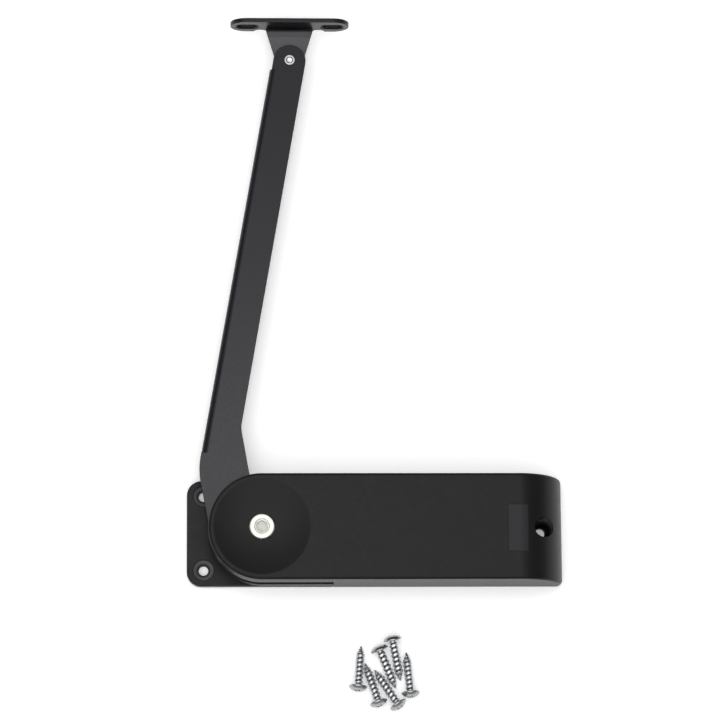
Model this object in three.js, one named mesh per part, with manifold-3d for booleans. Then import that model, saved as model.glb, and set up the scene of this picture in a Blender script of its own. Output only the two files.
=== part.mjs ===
// Surface-mounted door closer with a single swing arm. It lies on the back of its base plate.
// Millimetres. X runs along the housing, Y across it and Z along the spindle.
// The origin is where the spindle's axis meets the mounting face of the base plate.
import * as THREE from "three";
import { mergeVertices } from "three/addons/utils/BufferGeometryUtils.js";
import Module from "manifold-3d";

const wasm = await Module();
wasm.setup();

// ---- Clearances -------------------------------------------------------------------------
const FIT = 0.3; // between faces that rest on each other, and round fixed shafts
const PLAY = 0.4; // between faces that slide past each other

// ---- Housing ----------------------------------------------------------------------------
const BODY_WIDTH = 58;
const BODY_HEIGHT = 34;
const BODY_REACH = 165; // from the spindle to the far end
const EAR_LENGTH = 11.7; // how far the base plate shows beyond the cover's round end
const EAR_THICKNESS = 6;
const EAR_CORNER = 8;
const EAR_EDGE = 0.8; // radius of the plate's upper edge
const COVER_WALL = 2.2;
const COVER_FILLET = 1.6;
const COVER_RIB = 1.4;
const END_CORNER = 3;
const END_SLOPE = 25.5; // length over which the top curves down to the far end
const SKIRT_LIFT = 0.4;
const DISH_RADIUS = 26.2;
const DISH_DEPTH = 3.2;
const SLOT_REACH = 39; // how far the arm's slot runs along the sides
const SLOT_GAP = 4.1; // free height above the arm

// ---- Base plate -------------------------------------------------------------------------
const BASE_FLOOR = 4;
const BUSH_SEAT = 1; // floor left under the spindle's lower bush
const POCKET_RIBS = [10, 22]; // where the boss's coring ribs start
const POCKET_RIB = 2;
const FIXING_HOLE = 2.65; // radii of the holes for the wood screws
const FIXING_SINK = 5.85;
const EAR_HOLE_INSET = 9.1; // from the plate's end
const EAR_HOLE_SIDE = 8.65; // from the base's side
const FAR_HOLE_INSET = 12; // from the housing's far end
const ACCESS_BORE = 5.5; // radius of the screwdriver's way through the cover
const ACCESS_WALL = 1.8;
const BOSS_WALL = 3;

// ---- Rack and pinion --------------------------------------------------------------------
const MODULE = 1;
const PINION_TEETH = 11;
const BACKLASH = 0.3;
const MESH_OFFSET = 0.12; // the rack's extra distance from the pinion
const PROFILE_SHIFT = 0.4; // keeps so small a pinion from being undercut
const PRESSURE_ANGLE = THREE.MathUtils.degToRad(20);
const PINION_ADDENDUM = 0.85; // tooth heights, in modules
const RACK_ADDENDUM = 0.95;
const DEDENDUM = 1.25;
const RACK_FACE = 5.7; // height of the teeth
const RACK_WIDTH = 7;
const ARM_TRAVEL = Math.PI; // the arm's swing, from closed to wide open

// ---- Spindle ----------------------------------------------------------------------------
const LOWER_JOURNAL = 4;
const UPPER_JOURNAL = 5;
const SQUARE_FLATS = 11;
const SQUARE_TURNED = 6.9; // the square's corners are turned to this radius
const CAP_SHANK = 2.5;
const CAP_HEAD = 6.75;
const CAP_HEAD_HEIGHT = 5.4;
const CAP_HEX = 3.3; // half across its corners
const CAP_HEX_DEPTH = 2.4;
const CAP_EDGE = 0.6;

// ---- Plates and washers on the spindle --------------------------------------------------
const CHASSIS_SHEET = 1.7;
const SLIP_WASHER = 0.5;
const SLIP_WASHER_RADIUS = 20;
const SPACER_RADIUS = 15;
const BEARING_PLATE = 3;
const BEARING_NOSE = 14; // radius of the bearing plate round the spindle
const BEARING_FLARE = 6; // length over which it widens to its shelf
const BUSH_WALL = 3;
const BUSH_FLANGE = 1;
const BUSH_FLANGE_REACH = 2;
const CAP_WASHER = 1;
const CAP_CLEARANCE = 1.3; // from the cap washer up to the cover
const BUSH_SETBACK = 0.7; // from the upper bush up to the spindle's end

// ---- Arm --------------------------------------------------------------------------------
const ARM_SHEET = 3;
const ARM_TILT = THREE.MathUtils.degToRad(9.92); // the arm's lean when it is closed
const ARM_OFFSET = 29.8; // from the spindle to the arm's centre line
const ARM_REACH = 264; // along the arm, from the spindle to the pivot
const ARM_TIP = 9; // half the width of the blade
const HUB_SETBACK = 0.1; // the hub's edge lies this far inside the round end
const NECK_LEAN = THREE.MathUtils.degToRad(20.5); // of the neck's outer edge
const NECK_INNER_LEAN = THREE.MathUtils.degToRad(20.1);
const NECK_SETBACK = 1.2; // the neck's outer edge cuts this far into the hub
const NECK_BEND = 54.1; // along the arm, to the inner corner of the dog-leg
const NECK_OUTER_ROUND = 40;
const NECK_INNER_ROUND = 16;
const FLANGE_STEP = 1; // the flange stands out from the blade's edge
const FLANGE_HEIGHT = 9;
const FLANGE_INNER = 0.6; // inside radius of the bend
const FLANGE_START = 37;
const FLANGE_END_GAP = 6.5; // from the flange's end to the pivot

// ---- Door bracket -----------------------------------------------------------------------
const BRACKET_SHEET = 2.5;
const BRACKET_LENGTH = 66.2;
const BRACKET_HEIGHT = 18.2;
const BRACKET_STANDOFF = 18.6; // from the pivot to the plate's near face
const TONGUE_ROUND = 7; // radius of the tongue's end
const TONGUE_ROOT = 13.3; // half the tongue's width where it meets the plate
const TONGUE_BEND = 2; // inside radius of the bend
const RELIEF_RADIUS = 3.2;
const BRACKET_SLOT = 2.6; // half the slot's width
const BRACKET_SLOT_TRAVEL = 5.4;
const BRACKET_SLOT_SPREAD = 23.7;
const BRACKET_SINK = 2.3; // the countersink's margin round the slot
const RIVET_SHANK = 2.2;
const RIVET_CAP = 2.9;
const RIVET_FOOT = 4;
const RIVET_HEAD_HEIGHT = 0.9;
const RIVET_FOOT_HEIGHT = 1.2;
const RIVET_RIM = 0.9; // width of the rim round the hollow in its head
const RIVET_HOLLOW = 1;
const PIVOT_WASHER = 6; // radius

// ---- Spring, damper and their frame -----------------------------------------------------
const CHASSIS_END_GAP = 26; // from the frame's end to the housing's end
const CHASSIS_END_WALL = 3;
const BEARING_SHELF = 18; // length of the shelf that carries the bearing plate
const CHASSIS_TAB_HALF = 5;
const TAB_REACH = 7; // how far the shelves and tabs stand out of the frame
const SPRING_AXIS_Y = -9;
const DAMPER_AXIS_Y = 9;
const SPRING_RADIUS = 7;
const SPRING_WIRE = 1.4;
const SPRING_TURNS = 14;
const CROSSHEAD = 3;
const CROSSHEAD_SPARE = 4; // travel that is left when the arm is wide open
const SPIGOT_LENGTH = 9;
const SEAT_THICKNESS = 1.7;
const DAMPER_RADIUS = 6.3;
const DAMPER_BORE = 4.5;
const DAMPER_ROD = 2;
const DAMPER_PISTON = 4.1;
const PISTON_LENGTH = 4;
const PISTON_REST = 16; // from the cylinder's open end to the piston
const DAMPER_END = 3; // thickness of its closed end
const GLAND_LENGTH = 3.2;
const STUD = 2.2; // radius
const STUD_OUT = 5; // how far the studs stand out of the end wall
const NUT = 4.4;
const NUT_HEIGHT = 3.6;
const BUFFER_THICKNESS = 1.9;

// ---- Screws -----------------------------------------------------------------------------
const COVER_SCREW = 1.5;
const COVER_SCREW_LENGTH = 14;
const COVER_BOSS = 3.6;
const FRAME_SCREW = 1.6;
const FRAME_SCREW_HEAD = 3;
const FRAME_SCREW_HEIGHT = 1.8;
const FRAME_SCREW_EDGE = 0.7;
const BEARING_SCREW_DEPTH = 4; // below the bearing plate
const WOOD_SCREW_LENGTH = 22.5;
const WOOD_SCREW_SHANK = 2.2;
const WOOD_SCREW_HEAD = 4.7;
const WOOD_SCREW_HEAD_HEIGHT = 2.6;
const WOOD_SCREW_POINT = 5; // length of the tapered point
const RECESS_REACH = 2.2; // the cross in its head
const RECESS_HALF = 0.45;
const RECESS_DEPTH = 1.5;

// ---- Sizes worked out from those above --------------------------------------------------
const HALF_WIDTH = BODY_WIDTH / 2;
const BASE_END = -(HALF_WIDTH + EAR_LENGTH);
const EAR_HOLE_X = BASE_END + EAR_HOLE_INSET;
const EAR_HOLE_Y = HALF_WIDTH - EAR_HOLE_SIDE;
const FAR_HOLE_X = BODY_REACH - FAR_HOLE_INSET;
const ARM_HUB = HALF_WIDTH - HUB_SETBACK;
const FLANGE_BEND = ARM_SHEET + FLANGE_INNER;

// Heights, from the mounting face up to the arm and from the cover down to the bearing plate.
const CHASSIS_TOP = BASE_FLOOR + FIT + CHASSIS_SHEET;
const RACK_BOTTOM = CHASSIS_TOP + PLAY;
const RACK_TOP = RACK_BOTTOM + RACK_FACE;
const BOSS_TOP = RACK_TOP + FIT;
const WASHER_BOTTOM = BOSS_TOP + FIT;
const ARM_BOTTOM = WASHER_BOTTOM + SLIP_WASHER + FIT;
const ARM_TOP = ARM_BOTTOM + ARM_SHEET;
const SLOT_TOP = ARM_TOP + SLOT_GAP;
const COVER_UNDERSIDE = BODY_HEIGHT - DISH_DEPTH - COVER_WALL;
const CAP_WASHER_BOTTOM = COVER_UNDERSIDE - CAP_CLEARANCE - CAP_WASHER;
const CAP_BOTTOM = CAP_WASHER_BOTTOM + CAP_WASHER + FIT;
const SPINDLE_TOP = CAP_WASHER_BOTTOM - FIT;
const BUSH_TOP = SPINDLE_TOP - BUSH_SETBACK;
const PLATE_TOP = BUSH_TOP - BUSH_FLANGE - FIT;
const PLATE_BOTTOM = PLATE_TOP - BEARING_PLATE;

// Pinion and rack.
const PITCH_RADIUS = (MODULE * PINION_TEETH) / 2;
const PINION_POCKET = PITCH_RADIUS + (1 + PROFILE_SHIFT) * MODULE + PLAY;
const RACK_TRAVEL = PITCH_RADIUS * ARM_TRAVEL;
const RACK_PITCH_Y = -(PITCH_RADIUS + PROFILE_SHIFT * MODULE + MESH_OFFSET);
const RACK_BACK_Y = RACK_PITCH_Y - RACK_WIDTH;
const RACK_LEFT = -RACK_TRAVEL - 1.1 * Math.PI * MODULE;

// The frame under the cover and what it holds, along the housing.
const DRIVE_AXIS_Z = CHASSIS_TOP + PLAY + SPRING_RADIUS;
const CHASSIS_HALF = SPRING_RADIUS - SPRING_AXIS_Y + FIT + CHASSIS_SHEET;
const CROSSHEAD_HALF = CHASSIS_HALF - CHASSIS_SHEET - PLAY - FIT;
const CHASSIS_LEFT = SLOT_REACH + 3;
const CHASSIS_RIGHT = BODY_REACH - CHASSIS_END_GAP;
const END_WALL_LEFT = CHASSIS_RIGHT - CHASSIS_END_WALL;
const CROSSHEAD_LEFT = CHASSIS_LEFT + 2;
const CROSSHEAD_RIGHT = CROSSHEAD_LEFT + CROSSHEAD;
const BEARING_RIGHT = CHASSIS_LEFT + BEARING_SHELF;
const BEARING_SCREW_X = CHASSIS_LEFT + BEARING_SHELF / 2;
const SEAT_LEFT = END_WALL_LEFT - FIT - SEAT_THICKNESS;
const GUIDE_RADIUS = SPRING_RADIUS - 2 * SPRING_WIRE - 2 * FIT;
const DAMPER_RIGHT = END_WALL_LEFT - FIT;
const DAMPER_LEFT = CROSSHEAD_RIGHT + RACK_TRAVEL + CROSSHEAD_SPARE + GLAND_LENGTH + FIT;

// Screws that hold the frame and the cover.
const SHELF_HALF = CHASSIS_HALF + TAB_REACH;
const FRAME_SCREW_Y = CHASSIS_HALF + TAB_REACH / 2;
const COVER_SCREW_Y = HALF_WIDTH - COVER_WALL - FIT - COVER_BOSS;
const COVER_SCREW_XS = [BEARING_RIGHT + 2.2 * COVER_BOSS, CHASSIS_RIGHT - 2 * COVER_BOSS];
const between = (share) => THREE.MathUtils.lerp(COVER_SCREW_XS[0], COVER_SCREW_XS[1], share);
const CHASSIS_TAB_XS = [between(1 / 4), between(3 / 4)];
const COVER_RIB_XS = [between(1 / 3), between(2 / 3)];

// ---- Materials --------------------------------------------------------------------------
const material = (color, roughness, metalness) =>
  new THREE.MeshStandardMaterial({ color, roughness, metalness });
const MATERIALS = {
  blackPlastic: material(0x1e1e20, 0.55, 0),
  blackCasting: material(0x232325, 0.5, 0.3),
  blackSteel: material(0x26272a, 0.38, 0.5),
  zincSteel: material(0xb9bbbd, 0.35, 1),
  steel: material(0x8d9094, 0.4, 1),
  bronze: material(0xa8794a, 0.4, 1),
  nylon: material(0xdedcd2, 0.6, 0),
  rubber: material(0x151515, 0.9, 0),
};

// ---- Outlines, as lists of points ---------------------------------------------------------
const QUARTER = Math.PI / 2;
const point = (x, y) => new THREE.Vector2(x, y);

// An arc with both its ends, in steps that suit its radius.
function arc(x, y, radius, from, to) {
  if (radius === 0) return [point(x, y)];
  const inQuarter = Math.max(2, Math.round(2.6 * Math.sqrt(radius)));
  const steps = Math.max(1, Math.round((inQuarter * Math.abs(to - from)) / QUARTER));
  const points = [];
  for (let i = 0; i <= steps; i += 1) {
    const angle = from + ((to - from) * i) / steps;
    points.push(point(x + radius * Math.cos(angle), y + radius * Math.sin(angle)));
  }
  return points;
}

// The arc that rounds the corner between two straight sides.
function roundCorner(before, corner, after, radius) {
  const incoming = point().subVectors(corner, before).normalize();
  const outgoing = point().subVectors(after, corner).normalize();
  const turn = Math.atan2(incoming.cross(outgoing), incoming.dot(outgoing));
  const reach = radius * Math.tan(Math.abs(turn) / 2);
  const side = Math.sign(turn);
  const start = corner.clone().addScaledVector(incoming, -reach);
  const middle = start.clone().add(point(-incoming.y, incoming.x).multiplyScalar(side * radius));
  const from = Math.atan2(start.y - middle.y, start.x - middle.x);
  return arc(middle.x, middle.y, radius, from, from + turn);
}

// ---- Solids from three.js geometry, joined and cut ---------------------------------------
function solid(geometry) {
  const bare = geometry.clone();
  bare.deleteAttribute("normal");
  bare.deleteAttribute("uv");
  const merged = mergeVertices(bare, 1e-4);
  return new wasm.Manifold(new wasm.Mesh({
    numProp: 3,
    vertProperties: new Float32Array(merged.attributes.position.array),
    triVerts: new Uint32Array(merged.index.array),
  }));
}

function geometryOf(body) {
  const mesh = body.getMesh();
  const geometry = new THREE.BufferGeometry();
  geometry.setAttribute("position", new THREE.BufferAttribute(new Float32Array(mesh.vertProperties), 3));
  geometry.setIndex(new THREE.BufferAttribute(new Uint32Array(mesh.triVerts), 1));
  geometry.computeVertexNormals();
  return geometry;
}

const join = (first, ...others) => others.reduce((sum, next) => sum.add(next), first);
const cut = (first, ...others) => others.reduce((rest, next) => rest.subtract(next), first);

function block(x0, x1, y0, y1, z0, z1) {
  const geometry = new THREE.BoxGeometry(x1 - x0, y1 - y0, z1 - z0);
  geometry.translate((x0 + x1) / 2, (y0 + y1) / 2, (z0 + z1) / 2);
  return solid(geometry);
}

// A round bar or cone standing on z0, with its lower and upper radius.
function post(x, y, lower, upper, z0, z1, sides = 32) {
  const geometry = new THREE.CylinderGeometry(upper, lower, z1 - z0, sides);
  geometry.rotateX(QUARTER);
  geometry.translate(x, y, (z0 + z1) / 2);
  return solid(geometry);
}

// A round bar lying along X.
function bar(x0, x1, y, z, radius, sides = 24) {
  const geometry = new THREE.CylinderGeometry(radius, radius, x1 - x0, sides);
  geometry.rotateZ(QUARTER);
  geometry.translate((x0 + x1) / 2, y, z);
  return solid(geometry);
}

function extrude(outline, depth, round = 0) {
  return new THREE.ExtrudeGeometry(new THREE.Shape(outline), {
    depth: depth - 2 * round,
    bevelEnabled: round > 0,
    bevelThickness: round,
    bevelSize: round,
    bevelOffset: -round,
    bevelSegments: 3,
  }).translate(0, 0, round);
}

function prism(outline, z0, z1) {
  return solid(extrude(outline, z1 - z0).translate(0, 0, z0));
}

const FAR = 1000; // beyond everything

// A prism whose top edge is rounded. It is made too deep and cut square at z0.
function domedPrism(outline, z0, z1, round) {
  const spare = 2 * round;
  const rounded = extrude(outline, z1 - z0 + spare, round).translate(0, 0, z0 - spare);
  return cut(solid(rounded), block(-FAR, FAR, -FAR, FAR, z0 - FAR, z0));
}

// Extrudes an outline drawn in the XZ plane across the width.
function crossPrism(outline, y0, y1, round = 0) {
  return solid(extrude(outline, y1 - y0, round).rotateX(QUARTER).translate(0, y1, 0));
}

function ring(x, y, inner, outer, z0, z1, sides = 32) {
  return cut(post(x, y, outer, outer, z0, z1, sides), post(x, y, inner, inner, z0 - 1, z1 + 1, sides));
}

// A hole through z0..z1 with a 90 degree countersink at its upper end.
function sunkHole(x, y, hole, sink, z0, z1) {
  const depth = sink - hole;
  return join(post(x, y, hole, hole, z0 - 1, z1, 24), post(x, y, hole, sink, z1 - depth, z1 + 0.001, 24));
}

function roundedBox(x0, x1, y0, y1, left, right) {
  return [
    ...arc(x1 - right, y0 + right, right, -QUARTER, 0),
    ...arc(x1 - right, y1 - right, right, 0, QUARTER),
    ...arc(x0 + left, y1 - left, left, QUARTER, 2 * QUARTER),
    ...arc(x0 + left, y0 + left, left, 2 * QUARTER, 3 * QUARTER),
  ];
}

// The housing's plan: round about the spindle at one end, with small corners at the other.
function housingPlan(inset, reach, corner) {
  const half = HALF_WIDTH - inset;
  return [
    ...arc(0, 0, half, QUARTER, 3 * QUARTER),
    ...arc(reach - corner, corner - half, corner, -QUARTER, 0),
    ...arc(reach - corner, half - corner, corner, 0, QUARTER),
  ];
}

// The side view: flat, then curving down to the far end. spare lifts the flat clear of the top.
function sideProfile(inset, spare = 0) {
  const steps = 12;
  const beyond = -BODY_WIDTH;
  const below = -10;
  const top = BODY_HEIGHT - inset;
  const start = BODY_REACH - END_SLOPE;
  const outline = [point(beyond, below), point(BODY_REACH - inset, below)];
  for (let i = 0; i <= steps; i += 1) {
    const angle = (QUARTER * i) / steps;
    outline.push(point(start + (END_SLOPE - inset) * Math.cos(angle), top * Math.sin(angle)));
  }
  if (spare > 0) outline.push(point(start - 10 * spare, top + spare));
  outline.push(point(beyond, top + spare));
  return outline;
}

// Everything above the dish, which is part of a sphere. drop lowers it for the underside.
function dishCutter(drop, rings, sides) {
  const sphere = (DISH_RADIUS ** 2 + DISH_DEPTH ** 2) / (2 * DISH_DEPTH);
  const floor = BODY_HEIGHT - DISH_DEPTH - drop;
  const points = [];
  for (let i = 0; i <= rings; i += 1) {
    const r = (DISH_RADIUS * i) / rings;
    points.push(new THREE.Vector2(r, floor + sphere - Math.sqrt(sphere ** 2 - r ** 2)));
  }
  points.push(new THREE.Vector2(DISH_RADIUS, BODY_HEIGHT + 5));
  points.push(new THREE.Vector2(0, BODY_HEIGHT + 5));
  const geometry = new THREE.LatheGeometry(points, sides);
  geometry.rotateX(QUARTER);
  return solid(geometry);
}

// ---- Cover ------------------------------------------------------------------------------
function cover() {
  const across = BODY_WIDTH;
  const plan = housingPlan(0, BODY_REACH, END_CORNER);
  const outer = domedPrism(plan, SKIRT_LIFT, BODY_HEIGHT, COVER_FILLET)
    .intersect(crossPrism(sideProfile(0, 1), -HALF_WIDTH, HALF_WIDTH, COVER_FILLET));
  const room = prism(housingPlan(COVER_WALL, BODY_REACH - COVER_WALL, END_CORNER - 1), -10, BODY_HEIGHT)
    .intersect(crossPrism(sideProfile(COVER_WALL), -across, across))
    .subtract(dishCutter(COVER_WALL, 3, 24));
  const slot = block(-across, SLOT_REACH + FIT / 2, -across, across, -10, SLOT_TOP);
  const shell = cut(outer, room, dishCutter(0, 4, 36), slot);

  const inside = [];
  const inSkin = BODY_HEIGHT - COVER_WALL / 2;
  for (const x of COVER_SCREW_XS) {
    for (const side of [-1, 1]) {
      const y = side * COVER_SCREW_Y;
      const wall = side * (HALF_WIDTH - 1);
      inside.push(post(x, y, COVER_BOSS, COVER_BOSS, BASE_FLOOR + FIT, inSkin, 20));
      const [y0, y1] = [Math.min(y, wall), Math.max(y, wall)];
      inside.push(block(x - 1, x + 1, y0, y1, BASE_FLOOR + FIT, inSkin));
    }
  }
  for (const x of COVER_RIB_XS) {
    inside.push(block(x, x + COVER_RIB, -HALF_WIDTH + 1, HALF_WIDTH - 1, PLATE_TOP + 3, inSkin));
  }
  const sleeve = ACCESS_BORE + ACCESS_WALL;
  inside.push(post(FAR_HOLE_X, 0, sleeve, sleeve, EAR_THICKNESS + FIT, BODY_HEIGHT));

  const whole = join(shell, join(...inside).intersect(outer));
  const holes = [
    post(FAR_HOLE_X, 0, ACCESS_BORE, ACCESS_BORE, 0, BODY_HEIGHT + 1),
    post(0, 0, CAP_HEAD + FIT, CAP_HEAD + FIT, SLOT_TOP, BODY_HEIGHT),
  ];
  const bite = COVER_SCREW + FIT;
  for (const x of COVER_SCREW_XS) {
    for (const side of [-1, 1]) {
      holes.push(post(x, side * COVER_SCREW_Y, bite, bite, 0, COVER_SCREW_LENGTH + 2, 12));
    }
  }
  return cut(whole, ...holes);
}

// ---- Base plate -------------------------------------------------------------------------
function rackChannel() {
  const left = RACK_LEFT - BUFFER_THICKNESS - 2 * FIT;
  const front = RACK_PITCH_Y + MODULE + PLAY;
  return block(left, SLOT_REACH + 1, RACK_BACK_Y - PLAY, front, RACK_BOTTOM - PLAY, BOSS_TOP + 1);
}

function coredPockets() {
  const hollow = prism(housingPlan(BOSS_WALL, SLOT_REACH - BOSS_WALL, 0), BASE_FLOOR, BOSS_TOP + 1);
  const near = RACK_BACK_Y - PLAY - BOSS_WALL;
  const far = PINION_POCKET + BOSS_WALL;
  const keep = POCKET_RIBS.map((x) => block(x, x + POCKET_RIB, near, HALF_WIDTH, 0, BOSS_TOP + 2));
  return cut(hollow, block(-HALF_WIDTH, SLOT_REACH, near, far, 0, BOSS_TOP + 2), ...keep);
}

function basePlate() {
  const bossEnd = SLOT_REACH - FIT / 2;
  const floorHalf = HALF_WIDTH - COVER_WALL - FIT;
  const floorEnd = BODY_REACH - COVER_WALL - 2 * FIT;
  const ears = roundedBox(BASE_END, bossEnd - 1, -HALF_WIDTH, HALF_WIDTH, EAR_CORNER, 0);
  const ear = domedPrism(ears, 0, EAR_THICKNESS, EAR_EDGE);
  const boss = prism(housingPlan(0, bossEnd, 0), 0, BOSS_TOP);
  const floorPlan = roundedBox(bossEnd - 2, floorEnd, -floorHalf, floorHalf, 0, END_CORNER);
  const floor = prism(floorPlan, 0, BASE_FLOOR);
  const farBoss = ACCESS_BORE + ACCESS_WALL;
  const body = join(ear, boss, floor, post(FAR_HOLE_X, 0, farBoss, farBoss, 0, EAR_THICKNESS));

  const holes = [-EAR_HOLE_Y, EAR_HOLE_Y].map((y) =>
    sunkHole(EAR_HOLE_X, y, FIXING_HOLE, FIXING_SINK, 0, EAR_THICKNESS));
  holes.push(sunkHole(FAR_HOLE_X, 0, FIXING_HOLE, ACCESS_BORE - FIT, 0, EAR_THICKNESS));
  const screwWay = COVER_SCREW + FIT;
  for (const x of COVER_SCREW_XS) {
    for (const side of [-1, 1]) {
      const y = side * COVER_SCREW_Y;
      holes.push(post(x, y, screwWay, screwWay, -1, BASE_FLOOR + 1, 12));
      holes.push(post(x, y, 2 * screwWay, screwWay, -0.001, screwWay, 16));
    }
  }
  const frameWay = FRAME_SCREW + FIT;
  for (const x of CHASSIS_TAB_XS) {
    for (const side of [-1, 1]) {
      holes.push(post(x, side * FRAME_SCREW_Y, frameWay, frameWay, 1, BASE_FLOOR + 1, 12));
    }
  }
  holes.push(post(0, 0, PINION_POCKET, PINION_POCKET, BUSH_SEAT, BOSS_TOP + 1));
  return cut(body, rackChannel(), coredPockets(), ...holes);
}

// ---- Spindle with its pinion ------------------------------------------------------------
const involute = (angle) => Math.tan(angle) - angle;

function pinionOutline() {
  const base = PITCH_RADIUS * Math.cos(PRESSURE_ANGLE);
  const tip = PITCH_RADIUS + MODULE * (PINION_ADDENDUM + PROFILE_SHIFT);
  const root = PITCH_RADIUS - MODULE * (DEDENDUM - PROFILE_SHIFT);
  const widened = 2 * PROFILE_SHIFT * MODULE * Math.tan(PRESSURE_ANGLE);
  const thickness = QUARTER * MODULE + widened - BACKLASH / 2;
  const halfAtBase = thickness / (2 * PITCH_RADIUS) + involute(PRESSURE_ANGLE);
  const steps = 4;
  const flank = [[root, halfAtBase]];
  for (let i = 0; i <= steps; i += 1) {
    const r = base + ((tip - base) * i) / steps;
    flank.push([r, halfAtBase - involute(Math.acos(base / r))]);
  }
  const outline = [];
  for (let tooth = 0; tooth < PINION_TEETH; tooth += 1) {
    // One tooth points straight at the rack.
    const middle = (4 * QUARTER * tooth) / PINION_TEETH - QUARTER;
    const rise = flank.map(([r, half]) => [r, middle - half]);
    const fall = flank.map(([r, half]) => [r, middle + half]).reverse();
    for (const [r, angle] of [...rise, ...fall]) outline.push(point(r * Math.cos(angle), r * Math.sin(angle)));
  }
  return outline;
}

// The square that carries the arm, turned with it. spread opens it up for the arm's hole.
function armSquare(spread, z0, z1) {
  const flats = SQUARE_FLATS + 2 * spread;
  const geometry = new THREE.BoxGeometry(flats, flats, z1 - z0);
  geometry.translate(0, 0, (z0 + z1) / 2);
  geometry.rotateZ(-ARM_TILT);
  const corners = SQUARE_TURNED + spread;
  return solid(geometry).intersect(post(0, 0, corners, corners, z0 - 1, z1 + 1, 32));
}

function spindle() {
  const whole = join(
    post(0, 0, LOWER_JOURNAL, LOWER_JOURNAL, BUSH_SEAT + FIT, ARM_BOTTOM, 24),
    prism(pinionOutline(), RACK_BOTTOM, RACK_TOP),
    armSquare(0, RACK_TOP + FIT, ARM_TOP),
    post(0, 0, UPPER_JOURNAL, UPPER_JOURNAL, ARM_TOP - 1, SPINDLE_TOP, 24),
  );
  const bore = CAP_SHANK + FIT;
  return cut(whole, post(0, 0, bore, bore, RACK_TOP, SPINDLE_TOP + 1, 16));
}

function capScrew() {
  const top = CAP_BOTTOM + CAP_HEAD_HEIGHT;
  const profile = [
    [0, ARM_BOTTOM], [CAP_SHANK, ARM_BOTTOM], [CAP_SHANK, CAP_BOTTOM], [CAP_HEAD, CAP_BOTTOM],
    [CAP_HEAD, top - CAP_EDGE], [CAP_HEAD - CAP_EDGE, top], [0, top],
  ];
  return cut(turned(profile, 24), post(0, 0, CAP_HEX, CAP_HEX, top - CAP_HEX_DEPTH, top + 1, 6));
}

// A body turned about Z from its radii and heights.
function turned(profile, sides) {
  const geometry = new THREE.LatheGeometry(profile.map(([r, z]) => new THREE.Vector2(r, z)), sides);
  geometry.rotateX(QUARTER);
  return solid(geometry);
}

// ---- Arm --------------------------------------------------------------------------------
// The arm is drawn upright, then leant by ARM_TILT about the spindle.
const BLADE_LEFT = -(ARM_OFFSET + ARM_TIP);
const BLADE_RIGHT = -(ARM_OFFSET - ARM_TIP);
const FLANGE_LEFT = BLADE_LEFT - FLANGE_STEP;
const FLANGE_END = ARM_REACH - FLANGE_END_GAP;

function bladeOutline() {
  const touch = point(-Math.cos(NECK_LEAN), -Math.sin(NECK_LEAN)).multiplyScalar(ARM_HUB - NECK_SETBACK);
  const rise = (-FLANGE_LEFT + touch.x) / Math.tan(NECK_LEAN);
  const shoulder = point(FLANGE_LEFT, touch.y + rise);
  const inHub = point(BLADE_RIGHT + Math.tan(NECK_INNER_LEAN) * NECK_BEND, 0);
  const bend = point(BLADE_RIGHT, NECK_BEND);
  const tipRight = point(BLADE_RIGHT, ARM_REACH);
  const flangeTop = point(FLANGE_LEFT, FLANGE_END);
  return [
    touch,
    inHub,
    ...roundCorner(inHub, bend, tipRight, NECK_INNER_ROUND),
    ...arc(-ARM_OFFSET, ARM_REACH, ARM_TIP, 0, 2 * QUARTER),
    point(BLADE_LEFT, FLANGE_END),
    flangeTop,
    ...roundCorner(flangeTop, shoulder, touch, NECK_OUTER_ROUND),
  ];
}

function flangeSection() {
  const bendX = FLANGE_LEFT + FLANGE_BEND;
  const bendZ = ARM_TOP - FLANGE_BEND;
  const foot = ARM_TOP - FLANGE_HEIGHT;
  const lap = bendX + 0.5;
  return [
    point(lap, ARM_TOP),
    ...arc(bendX, bendZ, FLANGE_BEND, QUARTER, 2 * QUARTER),
    point(FLANGE_LEFT, foot),
    point(FLANGE_LEFT + ARM_SHEET, foot),
    ...arc(bendX, bendZ, FLANGE_INNER, 2 * QUARTER, QUARTER),
    point(lap, ARM_BOTTOM),
  ];
}

function arm() {
  const blade = join(
    prism(bladeOutline(), ARM_BOTTOM, ARM_TOP),
    post(0, 0, ARM_HUB, ARM_HUB, ARM_BOTTOM, ARM_TOP, 56),
  );
  const overlap = 0.3;
  const room = block(FLANGE_LEFT - 1, FLANGE_LEFT + FLANGE_BEND,
    FLANGE_START + overlap, FLANGE_END - overlap, ARM_BOTTOM - 1, ARM_TOP + 1);
  const flange = crossPrism(flangeSection(), FLANGE_START, FLANGE_END);
  const pivot = RIVET_SHANK + FIT;
  const drilled = join(cut(blade, room), flange)
    .subtract(post(-ARM_OFFSET, ARM_REACH, pivot, pivot, ARM_BOTTOM - 1, ARM_TOP + 1, 20));
  const leaning = geometryOf(drilled);
  leaning.rotateZ(-ARM_TILT);
  return solid(leaning).subtract(armSquare(FIT, ARM_BOTTOM - 1, ARM_TOP + 1));
}

// ---- Door bracket -----------------------------------------------------------------------
const PIVOT = new THREE.Vector2(-ARM_OFFSET, ARM_REACH).rotateAround(new THREE.Vector2(), -ARM_TILT);
const TONGUE_TOP = ARM_BOTTOM - 2 * FIT - SLIP_WASHER;
const TONGUE_BOTTOM = TONGUE_TOP - BRACKET_SHEET;

// Extrudes an outline drawn in the YZ plane along the housing.
function longPrism(outline, x0, x1) {
  const turn = new THREE.Matrix4().makeBasis(
    new THREE.Vector3(0, 1, 0), new THREE.Vector3(0, 0, 1), new THREE.Vector3(1, 0, 0));
  return solid(extrude(outline, x1 - x0).applyMatrix4(turn).translate(x0, 0, 0));
}

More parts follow.
